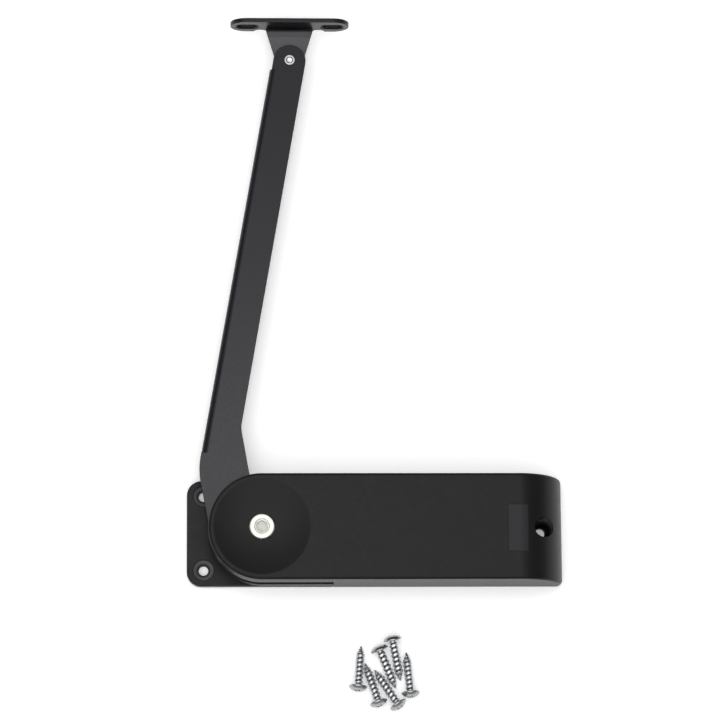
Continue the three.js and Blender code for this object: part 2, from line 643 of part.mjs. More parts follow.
function tonguePlan() {
  const root = point(TONGUE_ROOT, BRACKET_STANDOFF);
  const touch = root.angle() - Math.acos(TONGUE_ROUND / root.length());
  const beyond = BRACKET_STANDOFF + BRACKET_SHEET + 1;
  return [
    ...arc(0, 0, TONGUE_ROUND, 2 * QUARTER - touch, 4 * QUARTER + touch),
    root,
    point(TONGUE_ROOT, beyond),
    point(-TONGUE_ROOT, beyond),
    point(-TONGUE_ROOT, BRACKET_STANDOFF),
  ];
}

function bendSection() {
  const bendY = BRACKET_STANDOFF - TONGUE_BEND;
  const bendZ = TONGUE_TOP + TONGUE_BEND;
  const front = -TONGUE_ROUND - 1;
  const lap = bendZ + 1;
  return [
    point(front, TONGUE_BOTTOM),
    ...arc(bendY, bendZ, TONGUE_BEND + BRACKET_SHEET, -QUARTER, 0),
    point(BRACKET_STANDOFF + BRACKET_SHEET, lap),
    point(BRACKET_STANDOFF, lap),
    ...arc(bendY, bendZ, TONGUE_BEND, 0, -QUARTER),
    point(front, TONGUE_TOP),
  ];
}

// A slot with sloping sides, cut from the near face of the plate.
function bracketSlot(x, z) {
  const skin = 0.001;
  const near = BRACKET_STANDOFF - skin;
  const far = BRACKET_STANDOFF + BRACKET_SHEET + skin;
  const half = BRACKET_SLOT_TRAVEL / 2;
  const wide = BRACKET_SLOT + BRACKET_SINK;
  const section = [
    point(near, z - wide),
    point(far, z - BRACKET_SLOT),
    point(far, z + BRACKET_SLOT),
    point(near, z + wide),
  ];
  const ends = [x - half, x + half].map((end) => {
    const cone = new THREE.CylinderGeometry(BRACKET_SLOT, wide, far - near, 24);
    return solid(cone.translate(end, (near + far) / 2, z));
  });
  return join(longPrism(section, x - half, x + half), ...ends);
}

function doorBracket() {
  const round = BRACKET_HEIGHT / 2;
  const middle = TONGUE_BOTTOM + round;
  const straight = BRACKET_LENGTH / 2 - round;
  const outline = [
    ...arc(straight, middle, round, -QUARTER, QUARTER),
    ...arc(-straight, middle, round, QUARTER, 3 * QUARTER),
  ];
  const near = BRACKET_STANDOFF;
  const far = near + BRACKET_SHEET;
  const cuts = [block(-TONGUE_ROOT, TONGUE_ROOT, near - 1, far + 1, 0, TONGUE_TOP + TONGUE_BEND)];
  for (const side of [-1, 1]) {
    const relief = new THREE.CylinderGeometry(RELIEF_RADIUS, RELIEF_RADIUS, 2 * BRACKET_SHEET, 24);
    relief.translate(side * (TONGUE_ROOT + RELIEF_RADIUS), near + BRACKET_SHEET / 2, TONGUE_BOTTOM);
    cuts.push(solid(relief));
    cuts.push(bracketSlot(side * BRACKET_SLOT_SPREAD, middle));
  }
  const plate = cut(crossPrism(outline, near, far), ...cuts);
  const tongue = longPrism(bendSection(), -TONGUE_ROOT - 1, TONGUE_ROOT + 1)
    .intersect(prism(tonguePlan(), 0, BODY_HEIGHT));
  const pivot = RIVET_SHANK + FIT;
  return join(plate, tongue).subtract(post(0, 0, pivot, pivot, 0, BODY_HEIGHT, 20));
}

function pivotRivet() {
  const foot = TONGUE_BOTTOM - FIT;
  const cap = ARM_TOP + FIT;
  const top = cap + RIVET_HEAD_HEIGHT;
  const half = RIVET_FOOT_HEIGHT / 2;
  const edge = RIVET_HEAD_HEIGHT / 3;
  const hollow = RIVET_CAP - RIVET_RIM;
  return turned([
    [0, foot - 2 * half], [RIVET_FOOT - half, foot - 2 * half],
    [RIVET_FOOT, foot - half], [RIVET_FOOT, foot],
    [RIVET_SHANK, foot], [RIVET_SHANK, cap], [RIVET_CAP, cap], [RIVET_CAP, top - edge],
    [RIVET_CAP - edge, top], [hollow, top], [hollow - edge, top - RIVET_HOLLOW], [0, top - RIVET_HOLLOW],
  ], 16);
}

// ---- Plates, bushes and washers on the spindle -------------------------------------------
function bearingPlate() {
  const flare = CHASSIS_LEFT - BEARING_FLARE;
  const outline = [
    ...arc(0, 0, BEARING_NOSE, QUARTER, 3 * QUARTER),
    point(flare, -BEARING_NOSE),
    point(CHASSIS_LEFT, -SHELF_HALF),
    point(BEARING_RIGHT, -SHELF_HALF),
    point(BEARING_RIGHT, SHELF_HALF),
    point(CHASSIS_LEFT, SHELF_HALF),
    point(flare, BEARING_NOSE),
  ];
  const bore = UPPER_JOURNAL + BUSH_WALL + 2 * FIT;
  const way = FRAME_SCREW + FIT;
  const holes = [post(0, 0, bore, bore, 0, BODY_HEIGHT, 32)];
  for (const side of [-1, 1]) {
    holes.push(post(BEARING_SCREW_X, side * FRAME_SCREW_Y, way, way, 0, BODY_HEIGHT, 12));
  }
  return cut(prism(outline, PLATE_BOTTOM, PLATE_TOP), ...holes);
}

function upperBush() {
  const inner = UPPER_JOURNAL + FIT;
  const outer = inner + BUSH_WALL;
  const body = post(0, 0, outer, outer, PLATE_BOTTOM, BUSH_TOP - 0.5, 24);
  const lip = outer + BUSH_FLANGE_REACH;
  const flange = post(0, 0, lip, lip, PLATE_TOP + FIT, BUSH_TOP, 24);
  return cut(join(body, flange), post(0, 0, inner, inner, 0, BODY_HEIGHT, 24));
}

// A washer or bush on the Z axis.
const collar = (inner, outer, z0, z1) => ring(0, 0, inner, outer, z0, z1, 28);
const lowerBush = () =>
  collar(LOWER_JOURNAL + FIT, PINION_POCKET - FIT, BUSH_SEAT + FIT, RACK_BOTTOM - FIT);
const slipWasher = () =>
  collar(SQUARE_TURNED + FIT, SLIP_WASHER_RADIUS, WASHER_BOTTOM, WASHER_BOTTOM + SLIP_WASHER);
const spacer = () => collar(UPPER_JOURNAL + FIT, SPACER_RADIUS, ARM_TOP + FIT, PLATE_BOTTOM - FIT);
const capWasher = () =>
  collar(CAP_SHANK + FIT, CAP_HEAD + 1, CAP_WASHER_BOTTOM, CAP_WASHER_BOTTOM + CAP_WASHER);
const pivotWasher = () => collar(RIVET_SHANK + FIT, PIVOT_WASHER, TONGUE_TOP + FIT, ARM_BOTTOM - FIT);

// ---- Rack, spring, damper and the frame that holds them -----------------------------------
const springBar = (x0, x1, radius) => bar(x0, x1, SPRING_AXIS_Y, DRIVE_AXIS_Z, radius, 20);
const damperBar = (x0, x1, radius) => bar(x0, x1, DAMPER_AXIS_Y, DRIVE_AXIS_Z, radius, 20);

function rackOutline() {
  const pitch = Math.PI * MODULE;
  const tip = RACK_PITCH_Y + RACK_ADDENDUM * MODULE;
  const root = RACK_PITCH_Y - DEDENDUM * MODULE;
  const halfAtPitch = pitch / 4 - BACKLASH / 4;
  const slope = Math.tan(PRESSURE_ANGLE);
  const halfTip = halfAtPitch - (tip - RACK_PITCH_Y) * slope;
  const halfRoot = halfAtPitch + (RACK_PITCH_Y - root) * slope;
  const lap = CROSSHEAD_LEFT + 0.5;
  const outline = [point(RACK_LEFT, RACK_BACK_Y), point(lap, RACK_BACK_Y), point(lap, root)];
  // The gap between two teeth faces the spindle when the arm is closed.
  for (let middle = 1.5 * pitch; middle - halfRoot > RACK_LEFT; middle -= pitch) {
    outline.push(point(middle + halfRoot, root), point(middle + halfTip, tip));
    outline.push(point(middle - halfTip, tip), point(middle - halfRoot, root));
  }
  outline.push(point(RACK_LEFT, root));
  return outline;
}

function rackCarriage() {
  const top = PLATE_BOTTOM - 2 * FIT;
  const head = block(CROSSHEAD_LEFT, CROSSHEAD_RIGHT, -CROSSHEAD_HALF, CROSSHEAD_HALF, RACK_BOTTOM, top);
  const spigot = springBar(CROSSHEAD_RIGHT - 1, CROSSHEAD_RIGHT + SPIGOT_LENGTH, GUIDE_RADIUS);
  const rodHole = damperBar(CROSSHEAD_LEFT - 1, CROSSHEAD_RIGHT + 1, DAMPER_ROD + FIT);
  return join(prism(rackOutline(), RACK_BOTTOM, RACK_TOP), head, spigot).subtract(rodHole);
}

class Helix extends THREE.Curve {
  constructor(x0, x1, radius, turns) {
    super();
    Object.assign(this, { x0, x1, radius, turns });
  }

  getPoint(t, target = new THREE.Vector3()) {
    const angle = 4 * QUARTER * this.turns * t;
    const y = SPRING_AXIS_Y + this.radius * Math.cos(angle);
    const z = DRIVE_AXIS_Z + this.radius * Math.sin(angle);
    return target.set(this.x0 + (this.x1 - this.x0) * t, y, z);
  }
}

function returnSpring() {
  const wire = new THREE.Shape();
  wire.absarc(0, 0, SPRING_WIRE, 0, 4 * QUARTER);
  const clear = FIT + SPRING_WIRE;
  const coil = SPRING_RADIUS - SPRING_WIRE;
  const path = new Helix(CROSSHEAD_RIGHT + clear, SEAT_LEFT - clear, coil, SPRING_TURNS);
  const geometry = new THREE.ExtrudeGeometry(wire, {
    steps: 10 * SPRING_TURNS, extrudePath: path, curveSegments: 3, bevelEnabled: false,
  });
  return solid(geometry);
}

function damperRod() {
  const pistonX = DAMPER_LEFT + PISTON_REST;
  const rod = damperBar(CROSSHEAD_LEFT, pistonX + 1, DAMPER_ROD);
  return join(rod, damperBar(pistonX, pistonX + PISTON_LENGTH, DAMPER_PISTON));
}

function damperCylinder() {
  const tube = damperBar(DAMPER_LEFT, DAMPER_RIGHT, DAMPER_RADIUS);
  const bore = damperBar(DAMPER_LEFT - 1, DAMPER_RIGHT - DAMPER_END, DAMPER_BORE);
  return join(cut(tube, bore), damperBar(DAMPER_RIGHT - 1, CHASSIS_RIGHT + STUD_OUT, STUD));
}

function damperGland() {
  const right = DAMPER_LEFT - FIT;
  const disc = damperBar(right - GLAND_LENGTH, right, DAMPER_RADIUS);
  return cut(disc, damperBar(right - 2 * GLAND_LENGTH, right + 1, DAMPER_ROD + FIT));
}

function guideRod() {
  const left = CROSSHEAD_RIGHT + RACK_TRAVEL + SPIGOT_LENGTH + 2;
  const rod = springBar(left, END_WALL_LEFT - FIT, GUIDE_RADIUS);
  return join(rod, springBar(left + 1, CHASSIS_RIGHT + STUD_OUT, STUD));
}

function springSeat() {
  const disc = springBar(SEAT_LEFT, SEAT_LEFT + SEAT_THICKNESS, SPRING_RADIUS);
  return cut(disc, springBar(SEAT_LEFT - 1, END_WALL_LEFT, GUIDE_RADIUS + FIT));
}

function studNut(y) {
  const left = CHASSIS_RIGHT + FIT;
  const hexagon = bar(left, left + NUT_HEIGHT, y, DRIVE_AXIS_Z, NUT, 6);
  return cut(hexagon, bar(left - 1, left + NUT_HEIGHT + 1, y, DRIVE_AXIS_Z, STUD + FIT, 16));
}

function chassis() {
  const web0 = BASE_FLOOR + FIT;
  const inner = CHASSIS_HALF - CHASSIS_SHEET;
  const parts = [block(CHASSIS_LEFT, CHASSIS_RIGHT, -CHASSIS_HALF, CHASSIS_HALF, web0, CHASSIS_TOP)];
  const shelfTop = PLATE_BOTTOM - FIT;
  for (const side of [-1, 1]) {
    const span = (a, b) => (side > 0 ? [a, b] : [-b, -a]);
    parts.push(block(CHASSIS_LEFT, CHASSIS_RIGHT, ...span(inner, CHASSIS_HALF), web0, RACK_TOP));
    parts.push(block(CHASSIS_LEFT, BEARING_RIGHT, ...span(inner, CHASSIS_HALF), web0, shelfTop));
    const shelf = span(inner, SHELF_HALF);
    parts.push(block(CHASSIS_LEFT, BEARING_RIGHT, ...shelf, shelfTop - CHASSIS_SHEET, shelfTop));
    for (const x of CHASSIS_TAB_XS) {
      parts.push(block(x - CHASSIS_TAB_HALF, x + CHASSIS_TAB_HALF, ...shelf, web0, CHASSIS_TOP));
    }
  }
  const wallTop = DRIVE_AXIS_Z + SPRING_RADIUS;
  parts.push(block(END_WALL_LEFT, CHASSIS_RIGHT, -CHASSIS_HALF, CHASSIS_HALF, web0, wallTop));

  const way = FRAME_SCREW + FIT;
  const holes = [SPRING_AXIS_Y, DAMPER_AXIS_Y].map((y) =>
    bar(END_WALL_LEFT - 1, CHASSIS_RIGHT + 1, y, DRIVE_AXIS_Z, STUD + FIT, 16));
  for (const side of [-1, 1]) {
    const y = side * FRAME_SCREW_Y;
    for (const x of [...CHASSIS_TAB_XS, BEARING_SCREW_X]) {
      holes.push(post(x, y, way, way, 0, BODY_HEIGHT, 12));
    }
  }
  return cut(join(...parts), ...holes);
}

function stopBuffer() {
  const right = RACK_LEFT - FIT;
  const front = RACK_PITCH_Y - 1.5 * MODULE;
  return block(right - BUFFER_THICKNESS, right, RACK_BACK_Y, front, RACK_BOTTOM, RACK_TOP);
}

// ---- Screws -----------------------------------------------------------------------------
// A pan-headed machine screw whose head stands on the height seat.
function panScrew(x, y, seat, tip) {
  const top = seat + FRAME_SCREW_HEIGHT;
  const body = turned([
    [0, tip], [FRAME_SCREW, tip], [FRAME_SCREW, seat], [FRAME_SCREW_HEAD, seat],
    [FRAME_SCREW_HEAD, top - FRAME_SCREW_EDGE], [FRAME_SCREW_HEAD - FRAME_SCREW_EDGE, top], [0, top],
  ], 12);
  return { body, x, y };
}

// A countersunk screw that comes up through the base plate into the cover.
function coverScrew(x, y) {
  const head = 2 * COVER_SCREW;
  const body = turned([
    [0, FIT], [head, FIT], [COVER_SCREW, FIT + COVER_SCREW],
    [COVER_SCREW, COVER_SCREW_LENGTH], [0, COVER_SCREW_LENGTH],
  ], 12);
  return { body, x, y };
}

// A wood screw, drawn with the underside of its head at 0 and its tip up.
function woodScrewGeometry() {
  const dome = WOOD_SCREW_HEAD_HEIGHT;
  const profile = [
    [0, -dome], [0.45 * WOOD_SCREW_HEAD, -0.96 * dome], [0.8 * WOOD_SCREW_HEAD, -0.72 * dome],
    [WOOD_SCREW_HEAD, -0.3 * dome], [WOOD_SCREW_HEAD, 0], [WOOD_SCREW_SHANK, 0],
    [WOOD_SCREW_SHANK, WOOD_SCREW_LENGTH - WOOD_SCREW_POINT], [0, WOOD_SCREW_LENGTH],
  ];
  const recess = (long, wide) => block(-long, long, -wide, wide, -dome - 1, -dome + RECESS_DEPTH);
  const cross = join(recess(RECESS_REACH, RECESS_HALF), recess(RECESS_HALF, RECESS_REACH));
  return geometryOf(cut(turned(profile, 14), cross));
}

// ---- The assembly -----------------------------------------------------------------------
const closer = new THREE.Group();

function add(name, body, look, place = null) {
  const mesh = new THREE.Mesh(geometryOf(body), MATERIALS[look]);
  mesh.name = name;
  if (place) mesh.position.set(place.x, place.y, 0);
  closer.add(mesh);
}

add("base_plate", basePlate(), "blackCasting");
add("cover", cover(), "blackPlastic");
add("chassis_frame", chassis(), "steel");
add("bearing_plate", bearingPlate(), "steel");
add("lower_bush", lowerBush(), "bronze");
add("upper_bush", upperBush(), "bronze");
add("guide_rod", guideRod(), "steel");
add("guide_rod_nut", studNut(SPRING_AXIS_Y), "zincSteel");
add("spring_seat", springSeat(), "steel");
add("damper_cylinder", damperCylinder(), "steel");
add("damper_gland", damperGland(), "nylon");
add("damper_nut", studNut(DAMPER_AXIS_Y), "zincSteel");
add("stop_buffer", stopBuffer(), "rubber");

add("spindle", spindle(), "steel");
add("arm", arm(), "blackSteel");
add("slip_washer", slipWasher(), "steel");
add("hub_spacer", spacer(), "nylon");
add("cap_washer", capWasher(), "zincSteel");
add("cap_screw", capScrew(), "zincSteel");
add("pivot_rivet", pivotRivet(), "zincSteel", PIVOT);

add("door_bracket", doorBracket(), "blackSteel", PIVOT);
add("pivot_washer", pivotWasher(), "nylon", PIVOT);

add("rack_carriage", rackCarriage(), "steel");
add("return_spring", returnSpring(), "steel");
add("damper_rod", damperRod(), "zincSteel");

function addScrews(name, screws) {
  screws.forEach(({ body, x, y }, i) => add(`${name}_${i + 1}`, body, "zincSteel", { x, y }));
}
const bothSides = (xs, y) => xs.flatMap((x) => [[x, -y], [x, y]]);
addScrews("cover_screw", bothSides(COVER_SCREW_XS, COVER_SCREW_Y).map(([x, y]) => coverScrew(x, y)));
addScrews("frame_screw", bothSides(CHASSIS_TAB_XS, FRAME_SCREW_Y).map(([x, y]) =>
  panScrew(x, y, CHASSIS_TOP + FIT, 1 + FIT)));
addScrews("bearing_screw", bothSides([BEARING_SCREW_X], FRAME_SCREW_Y).map(([x, y]) =>
  panScrew(x, y, PLATE_TOP + FIT, PLATE_BOTTOM - BEARING_SCREW_DEPTH)));

// Six wood screws lie beside the closer, each on the rim of its head and the end of its thread.
const LOOSE_SCREWS = [
  // head x, head y, and the way the tip points, in degrees from X
  [52.4, -84.8, 85],
  [72.3, -58.6, -81],
  [64.3, -64.4, -67],
  [63.6, -93.2, 108],
  [73.8, -93.8, 124],
  [81.6, -86.9, 95],
];
const screwGeometry = woodScrewGeometry();
const droop = Math.atan((WOOD_SCREW_HEAD - WOOD_SCREW_SHANK) / (WOOD_SCREW_LENGTH - WOOD_SCREW_POINT));
LOOSE_SCREWS.forEach(([x, y, bearing], i) => {
  const mesh = new THREE.Mesh(screwGeometry, MATERIALS.zincSteel);
  mesh.name = `wood_screw_${i + 1}`;
  const heading = THREE.MathUtils.degToRad(bearing);
  const level = Math.cos(droop);
  const pointing = new THREE.Vector3(Math.cos(heading) * level, Math.sin(heading) * level, -Math.sin(droop));
  mesh.quaternion.setFromUnitVectors(new THREE.Vector3(0, 0, 1), pointing);
  mesh.position.set(x, y, WOOD_SCREW_HEAD * level + 0.1);
  closer.add(mesh);
});

export default closer;
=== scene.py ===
import math
import bpy
import bmesh
from mathutils import Euler, Matrix, Vector


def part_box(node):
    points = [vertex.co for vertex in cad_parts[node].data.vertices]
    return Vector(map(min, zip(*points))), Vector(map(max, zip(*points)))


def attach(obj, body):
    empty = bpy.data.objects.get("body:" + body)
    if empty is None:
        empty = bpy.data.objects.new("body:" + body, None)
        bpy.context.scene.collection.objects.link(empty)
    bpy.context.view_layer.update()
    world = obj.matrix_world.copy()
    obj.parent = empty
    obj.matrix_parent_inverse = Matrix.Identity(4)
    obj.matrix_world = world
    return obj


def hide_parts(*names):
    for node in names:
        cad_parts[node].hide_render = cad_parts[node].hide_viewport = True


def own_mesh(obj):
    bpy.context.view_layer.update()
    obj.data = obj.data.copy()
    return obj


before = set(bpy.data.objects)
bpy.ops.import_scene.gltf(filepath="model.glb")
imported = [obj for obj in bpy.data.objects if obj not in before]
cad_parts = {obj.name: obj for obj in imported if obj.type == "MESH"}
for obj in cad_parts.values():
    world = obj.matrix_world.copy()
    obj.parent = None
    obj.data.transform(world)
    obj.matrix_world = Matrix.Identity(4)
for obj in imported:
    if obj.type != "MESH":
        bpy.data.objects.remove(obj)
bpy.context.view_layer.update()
MM = 0.001


# ---- Places taken from the CAD model, in millimetres --------------------------------------
def corners(node):
    """The lowest and the highest corner of a CAD node's box."""
    return [[round(v / MM, 3) for v in corner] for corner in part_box(node)]


def centre(node):
    """The centre of a CAD node's box."""
    return [round((low + high) / 2, 3) for low, high in zip(*corners(node))]


COVER_LOW, COVER_HIGH = corners("cover")
BASE_LOW, BASE_HIGH = corners("base_plate")
ARM_TOP = corners("arm")[1][2]
TONGUE_BOTTOM = corners("door_bracket")[0][2]
COVER_SCREWS = [centre(f"cover_screw_{i}") for i in range(1, 5)]
FRAME_SCREWS = [centre(f"frame_screw_{i}") for i in range(1, 5)]

# ---- Housing ------------------------------------------------------------------------------
HALF = COVER_HIGH[1]  # half the housing's width
REACH = round(COVER_HIGH[0] - 0.01, 2)  # from the spindle to the far end, just inside the CAD's box
TOP = COVER_HIGH[2]
SKIRT = COVER_LOW[2]  # height at which the cover's walls end
WALL = 2.2
FAR_CORNER = 3.4  # radius of the far end's corners, seen from above
SLOPE = 25.5  # length over which the top curves down to the far end
FILLET = 1.6  # rounding of the cover's upper edges
DISH_RADIUS, DISH_DEPTH = 26.2, 3.2
DISH_LIP = 5.0  # radius at which the dish's lip rounds over
SCREW_HOLE = 7.05  # radius of the hole in the middle of the dish
SLOT_REACH = 39.0  # how far the arm's slot runs along the sides
SLOT_TOP = ARM_TOP + 4.1
FAR_X = 153.0  # the fixing hole near the far end
ACCESS_BORE = 5.5  # radius of the screwdriver's way to it
ACCESS_TUBE = ACCESS_BORE + 1.8
PAD_X, PAD_Y = (133.3, 143.9), (-13.7, 11.6)  # the bare place for a label
PAD_DEPTH = 0.22

# ---- Base ---------------------------------------------------------------------------------
BASE_END = BASE_LOW[0]
BOSS_TOP = BASE_HIGH[2]
BASE_FLOOR = 4
EAR_TOP = 6.0
EAR_CORNER, EAR_EDGE = 8, 0.8  # radii seen from above and from the side
EAR_X, EAR_Y = BASE_END + 9.1, HALF - 8.65  # the ears' fixing holes
FIXING_HOLE, SPINDLE_POCKET, BLIND_HOLE = 2.65, 7.3, 1.9  # radii; the frame's screws end in the blind holes
RACK_X, RACK_Y, RACK_FLOOR = (-23.2, SLOT_REACH + 1), (-13.42, -4.62), 6  # the rack's channel
CORE_Y = 10.3  # where the boss's hollows start
CORE_SPANS = ((-17.8, 9.9), (12.1, 21.9), (24.1, 35.8))  # the hollows along X, with ribs between them

# ---- Arm, before it leans -----------------------------------------------------------------
ARM_SHEET = 3.0
ARM_BOTTOM = ARM_TOP - ARM_SHEET
ARM_LEAN = math.radians(-9.92)
ARM_OFFSET, ARM_REACH = -29.8, 264.0  # from the spindle to the pivot
ARM_TIP = 9  # radius of the blade's round end
HUB_RADIUS = 26.5
HUB_SQUARE, HUB_ROUND = 5.8, 7.2  # the spindle's hole: half its width over flats, and its radius
FLANGE_X = -39.8  # the flange's outer face
FLANGE_Y = (36.4, 257.5)
FLANGE_HEIGHT = 9
FLANGE_BEND = 3.6  # outside radius of the fold
PIVOT_HOLE = 2.5  # radius

# ---- Door bracket, seen from its pivot ----------------------------------------------------
PIVOT = Vector((ARM_OFFSET, ARM_REACH)).to_3d()
PIVOT.rotate(Euler((0, 0, ARM_LEAN)))
TONGUE_TOP = TONGUE_BOTTOM + 2.5
TONGUE_LEVEL = 5.0  # where it starts to rise
TONGUE_RISE = math.radians(8)
TONGUE_ROOT = 13.3  # half its width where it meets the plate
TONGUE_END = 7  # radius of its round end
PLATE_NEAR = 18.6  # from the pivot to the plate's near face
PLATE_SHEET = 2.499
PLATE_FAR = PLATE_NEAR + PLATE_SHEET
PLATE_LENGTH = 66.2
PLATE_RADIUS = 9.1  # half its height, and the radius of its round ends
PLATE_MID = TONGUE_BOTTOM + PLATE_RADIUS
BEND_OUTSIDE, BEND_INSIDE = 4.5, 2  # radii of the bend from the tongue to the plate
BEND_Y = PLATE_NEAR - BEND_INSIDE
BEND_RUN = BEND_Y + BEND_OUTSIDE * math.sin(TONGUE_RISE) - TONGUE_LEVEL
BEND_Z = TONGUE_BOTTOM + BEND_RUN * math.tan(TONGUE_RISE) + BEND_OUTSIDE * math.cos(TONGUE_RISE)
RELIEF_X, RELIEF_RADIUS = 16.3, 3.2  # the notches beside the bend
SLOT_X = 23.7  # from the plate's middle to a slot's
SLOT_HALF = 2.7  # half the way between the centres of a slot's ends
SLOT_WIDE, SLOT_NARROW = 4.3, 3.1  # radii of a slot's ends, at the face and below its sink
SINK_DEPTH = 0.9

# ---- Return spring ------------------------------------------------------------------------
SPRING_Y, SPRING_Z = centre("spring_seat")[1:]
SPRING_START = 47.55
SPRING_END = corners("spring_seat")[0][0] - 0.4
SPRING_COIL, SPRING_WIRE = 5.6, 1.38  # radii
SPRING_TURNS = 14

# ---- Loose wood screws --------------------------------------------------------------------
SCREW_LENGTH, SCREW_POINT = 22.5, 5.0  # under the head, and of the point alone
SCREW_CREST, SCREW_CORE = 2.45, 1.75  # radii
SCREW_PITCH = 2.5
SCREW_HEAD, SCREW_DOME = 5.0, 2.6  # the head's radius and height
RECESS = (2.3, 0.42)  # half the length and half the width of a cross arm
# x and y of each head's underside, and the way the tip points, in degrees
LOOSE = [(52.4, -83.7, 85), (71.4, -58.8, -79), (64.35, -64.3, -67), (63.3, -92.2, 108),
         (73.75, -93.4, 123), (80.9, -87.2, 95)]


# ---- Outlines -----------------------------------------------------------------------------
SHARPEST = 0.05  # the smallest radius that an inset leaves to a corner


def arc(cx, cy, r, a0, a1, steps):
    """Points on an arc, in degrees, both ends included."""
    angles = [math.radians(a0 + (a1 - a0) * i / steps) for i in range(steps + 1)]
    return [(cx + r * math.cos(a), cy + r * math.sin(a)) for a in angles]


def rounded_corner(before, corner, after, radius, steps):
    """The arc that rounds a corner of a path."""
    b, c, a = Vector(before), Vector(corner), Vector(after)
    u, w = (c - b).normalized(), (a - c).normalized()
    turn = math.atan2(u.x * w.y - u.y * w.x, u.dot(w))
    start = c - u * radius * math.tan(abs(turn) / 2)
    hub = start + Vector((-u.y, u.x)) * math.copysign(1, turn) * radius
    a0 = math.degrees(math.atan2(start.y - hub.y, start.x - hub.x))
    return arc(hub.x, hub.y, radius, a0, a0 + math.degrees(turn), steps)


def housing_plan(inset, reach, corner):
    """Round at the spindle, with two corners at the far end, turning counter-clockwise."""
    r = HALF - inset
    c = max(corner - inset, SHARPEST)
    pts = arc(0, 0, r, 90, 270, 64)
    pts += arc(reach - inset - c, -(r - c), c, -90, 0, 10)
    pts += arc(reach - inset - c, r - c, c, 0, 90, 10)
    return pts


def box_plan(x0, x1, half, left, right, inset=0.0, steps=12):
    """A rectangle about the X axis whose left and right corners have their own radii."""
    x0, x1, half = x0 + inset, x1 - inset, half - inset
    left, right = max(left - inset, SHARPEST), max(right - inset, SHARPEST)
    pts = arc(x0 + left, -half + left, left, 180, 270, steps)
    pts += arc(x1 - right, -half + right, right, -90, 0, steps)
    pts += arc(x1 - right, half - right, right, 0, 90, steps)
    pts += arc(x0 + left, half - left, left, 90, 180, steps)
    return pts


# ---- Meshes -------------------------------------------------------------------------------
def to_object(name, bm):
    bmesh.ops.recalc_face_normals(bm, faces=bm.faces)
    mesh = bpy.data.meshes.new(name)
    bm.to_mesh(mesh)
    bm.free()
    obj = bpy.data.objects.new(name, mesh)
    bpy.context.scene.collection.objects.link(obj)
    return obj


def move(obj, x, y, z=0):
    obj.data.transform(Matrix.Translation((x * MM, y * MM, z * MM)))
    return obj


def stack(name, rings):
    """A closed body through rings of points, each ring a list of (x, y, z) of one length."""
    bm = bmesh.new()
    rows = [[bm.verts.new((x * MM, y * MM, z * MM)) for x, y, z in ring] for ring in rings]
    count = len(rows[0])
    for low, high in zip(rows, rows[1:]):
        for i in range(count):
            j = (i + 1) % count
            bm.faces.new((low[i], low[j], high[j], high[i]))
    bm.faces.new(list(reversed(rows[0])))
    bm.faces.new(rows[-1])
    return to_object(name, bm)


def prism(name, outline, z0, z1):
    return stack(name, [[(x, y, z) for x, y in outline] for z in (z0, z1)])


def xz_prism(name, outline, y0, y1):
    """A prism of an outline drawn in XZ, running along Y."""
    return stack(name, [[(x, y, z) for x, z in outline] for y in (y0, y1)])


def yz_prism(name, outline, x0, x1):
    """A prism of an outline drawn in YZ, running along X."""
    return stack(name, [[(x, y, z) for y, z in outline] for x in (x0, x1)])


def block(name, x0, x1, y0, y1, z0, z1):
    return prism(name, [(x0, y0), (x1, y0), (x1, y1), (x0, y1)], z0, z1)


def domed(name, plan, z0, z1, edge, steps=6):
    """A prism whose upper edge is rounded; plan(inset) gives its outline."""
    rings = [[(x, y, z0) for x, y in plan(0)]]
    for i in range(steps + 1):
        a = math.radians(90 * i / steps)
        inset = edge * (1 - math.cos(a))
        rings.append([(x, y, z1 - edge * (1 - math.sin(a))) for x, y in plan(inset)])
    return stack(name, rings)


def turned(name, profile, sides=96):
    """A body turned about Z from (radius, height) pairs that start and end on the axis."""
    bm = bmesh.new()
    angles = [2 * math.pi * i / sides for i in range(sides)]
    rows = []
    for r, z in profile:
        around = angles if r > 0 else [0]
        rows.append([bm.verts.new((r * math.cos(a) * MM, r * math.sin(a) * MM, z * MM)) for a in around])
    for a, b in zip(rows, rows[1:]):
        for i in range(sides):
            j = (i + 1) % sides
            if len(a) == 1 and len(b) == 1:
                continue
            if len(a) == 1:
                bm.faces.new((a[0], b[i], b[j]))
            elif len(b) == 1:
                bm.faces.new((a[i], a[j], b[0]))
            else:
                bm.faces.new((a[i], a[j], b[j], b[i]))
    return to_object(name, bm)


def post(name, x, y, r, z0, z1, sides=64):
    return move(turned(name, [(0, z0), (r, z0), (r, z1), (0, z1)], sides), x, y)


def y_post(name, x, z, r0, r1, y0, y1):
    """A post or cone that runs along Y."""
    obj = turned(name, [(0, y0), (r0, y0), (r1, y1), (0, y1)], 48)
    place = Matrix.Translation((x * MM, 0, z * MM))
    obj.data.transform(place @ Matrix.Rotation(math.radians(-90), 4, "X"))
    return obj


def evaluate(obj):
    """Bakes an object's modifiers into its mesh."""
    bpy.context.view_layer.update()
    graph = bpy.context.evaluated_depsgraph_get()
    mesh = bpy.data.meshes.new_from_object(obj.evaluated_get(graph))
    old = obj.data
    obj.modifiers.clear()
    obj.data = mesh
    bpy.data.meshes.remove(old)


def drop(obj):
    """Removes an object and its mesh."""
    mesh = obj.data
    bpy.data.objects.remove(obj)
    bpy.data.meshes.remove(mesh)


def combine(base, operation, others):
    for other in others:
        boolean = base.modifiers.new("boolean", "BOOLEAN")
        boolean.operation = operation
        boolean.solver = "MANIFOLD"
        boolean.object = other
        evaluate(base)
        drop(other)
    return base


def cut(base, *others):
    return combine(base, "DIFFERENCE", others)


def join(base, *others):
    return combine(base, "UNION", others)


def common(base, *others):
    return combine(base, "INTERSECT", others)


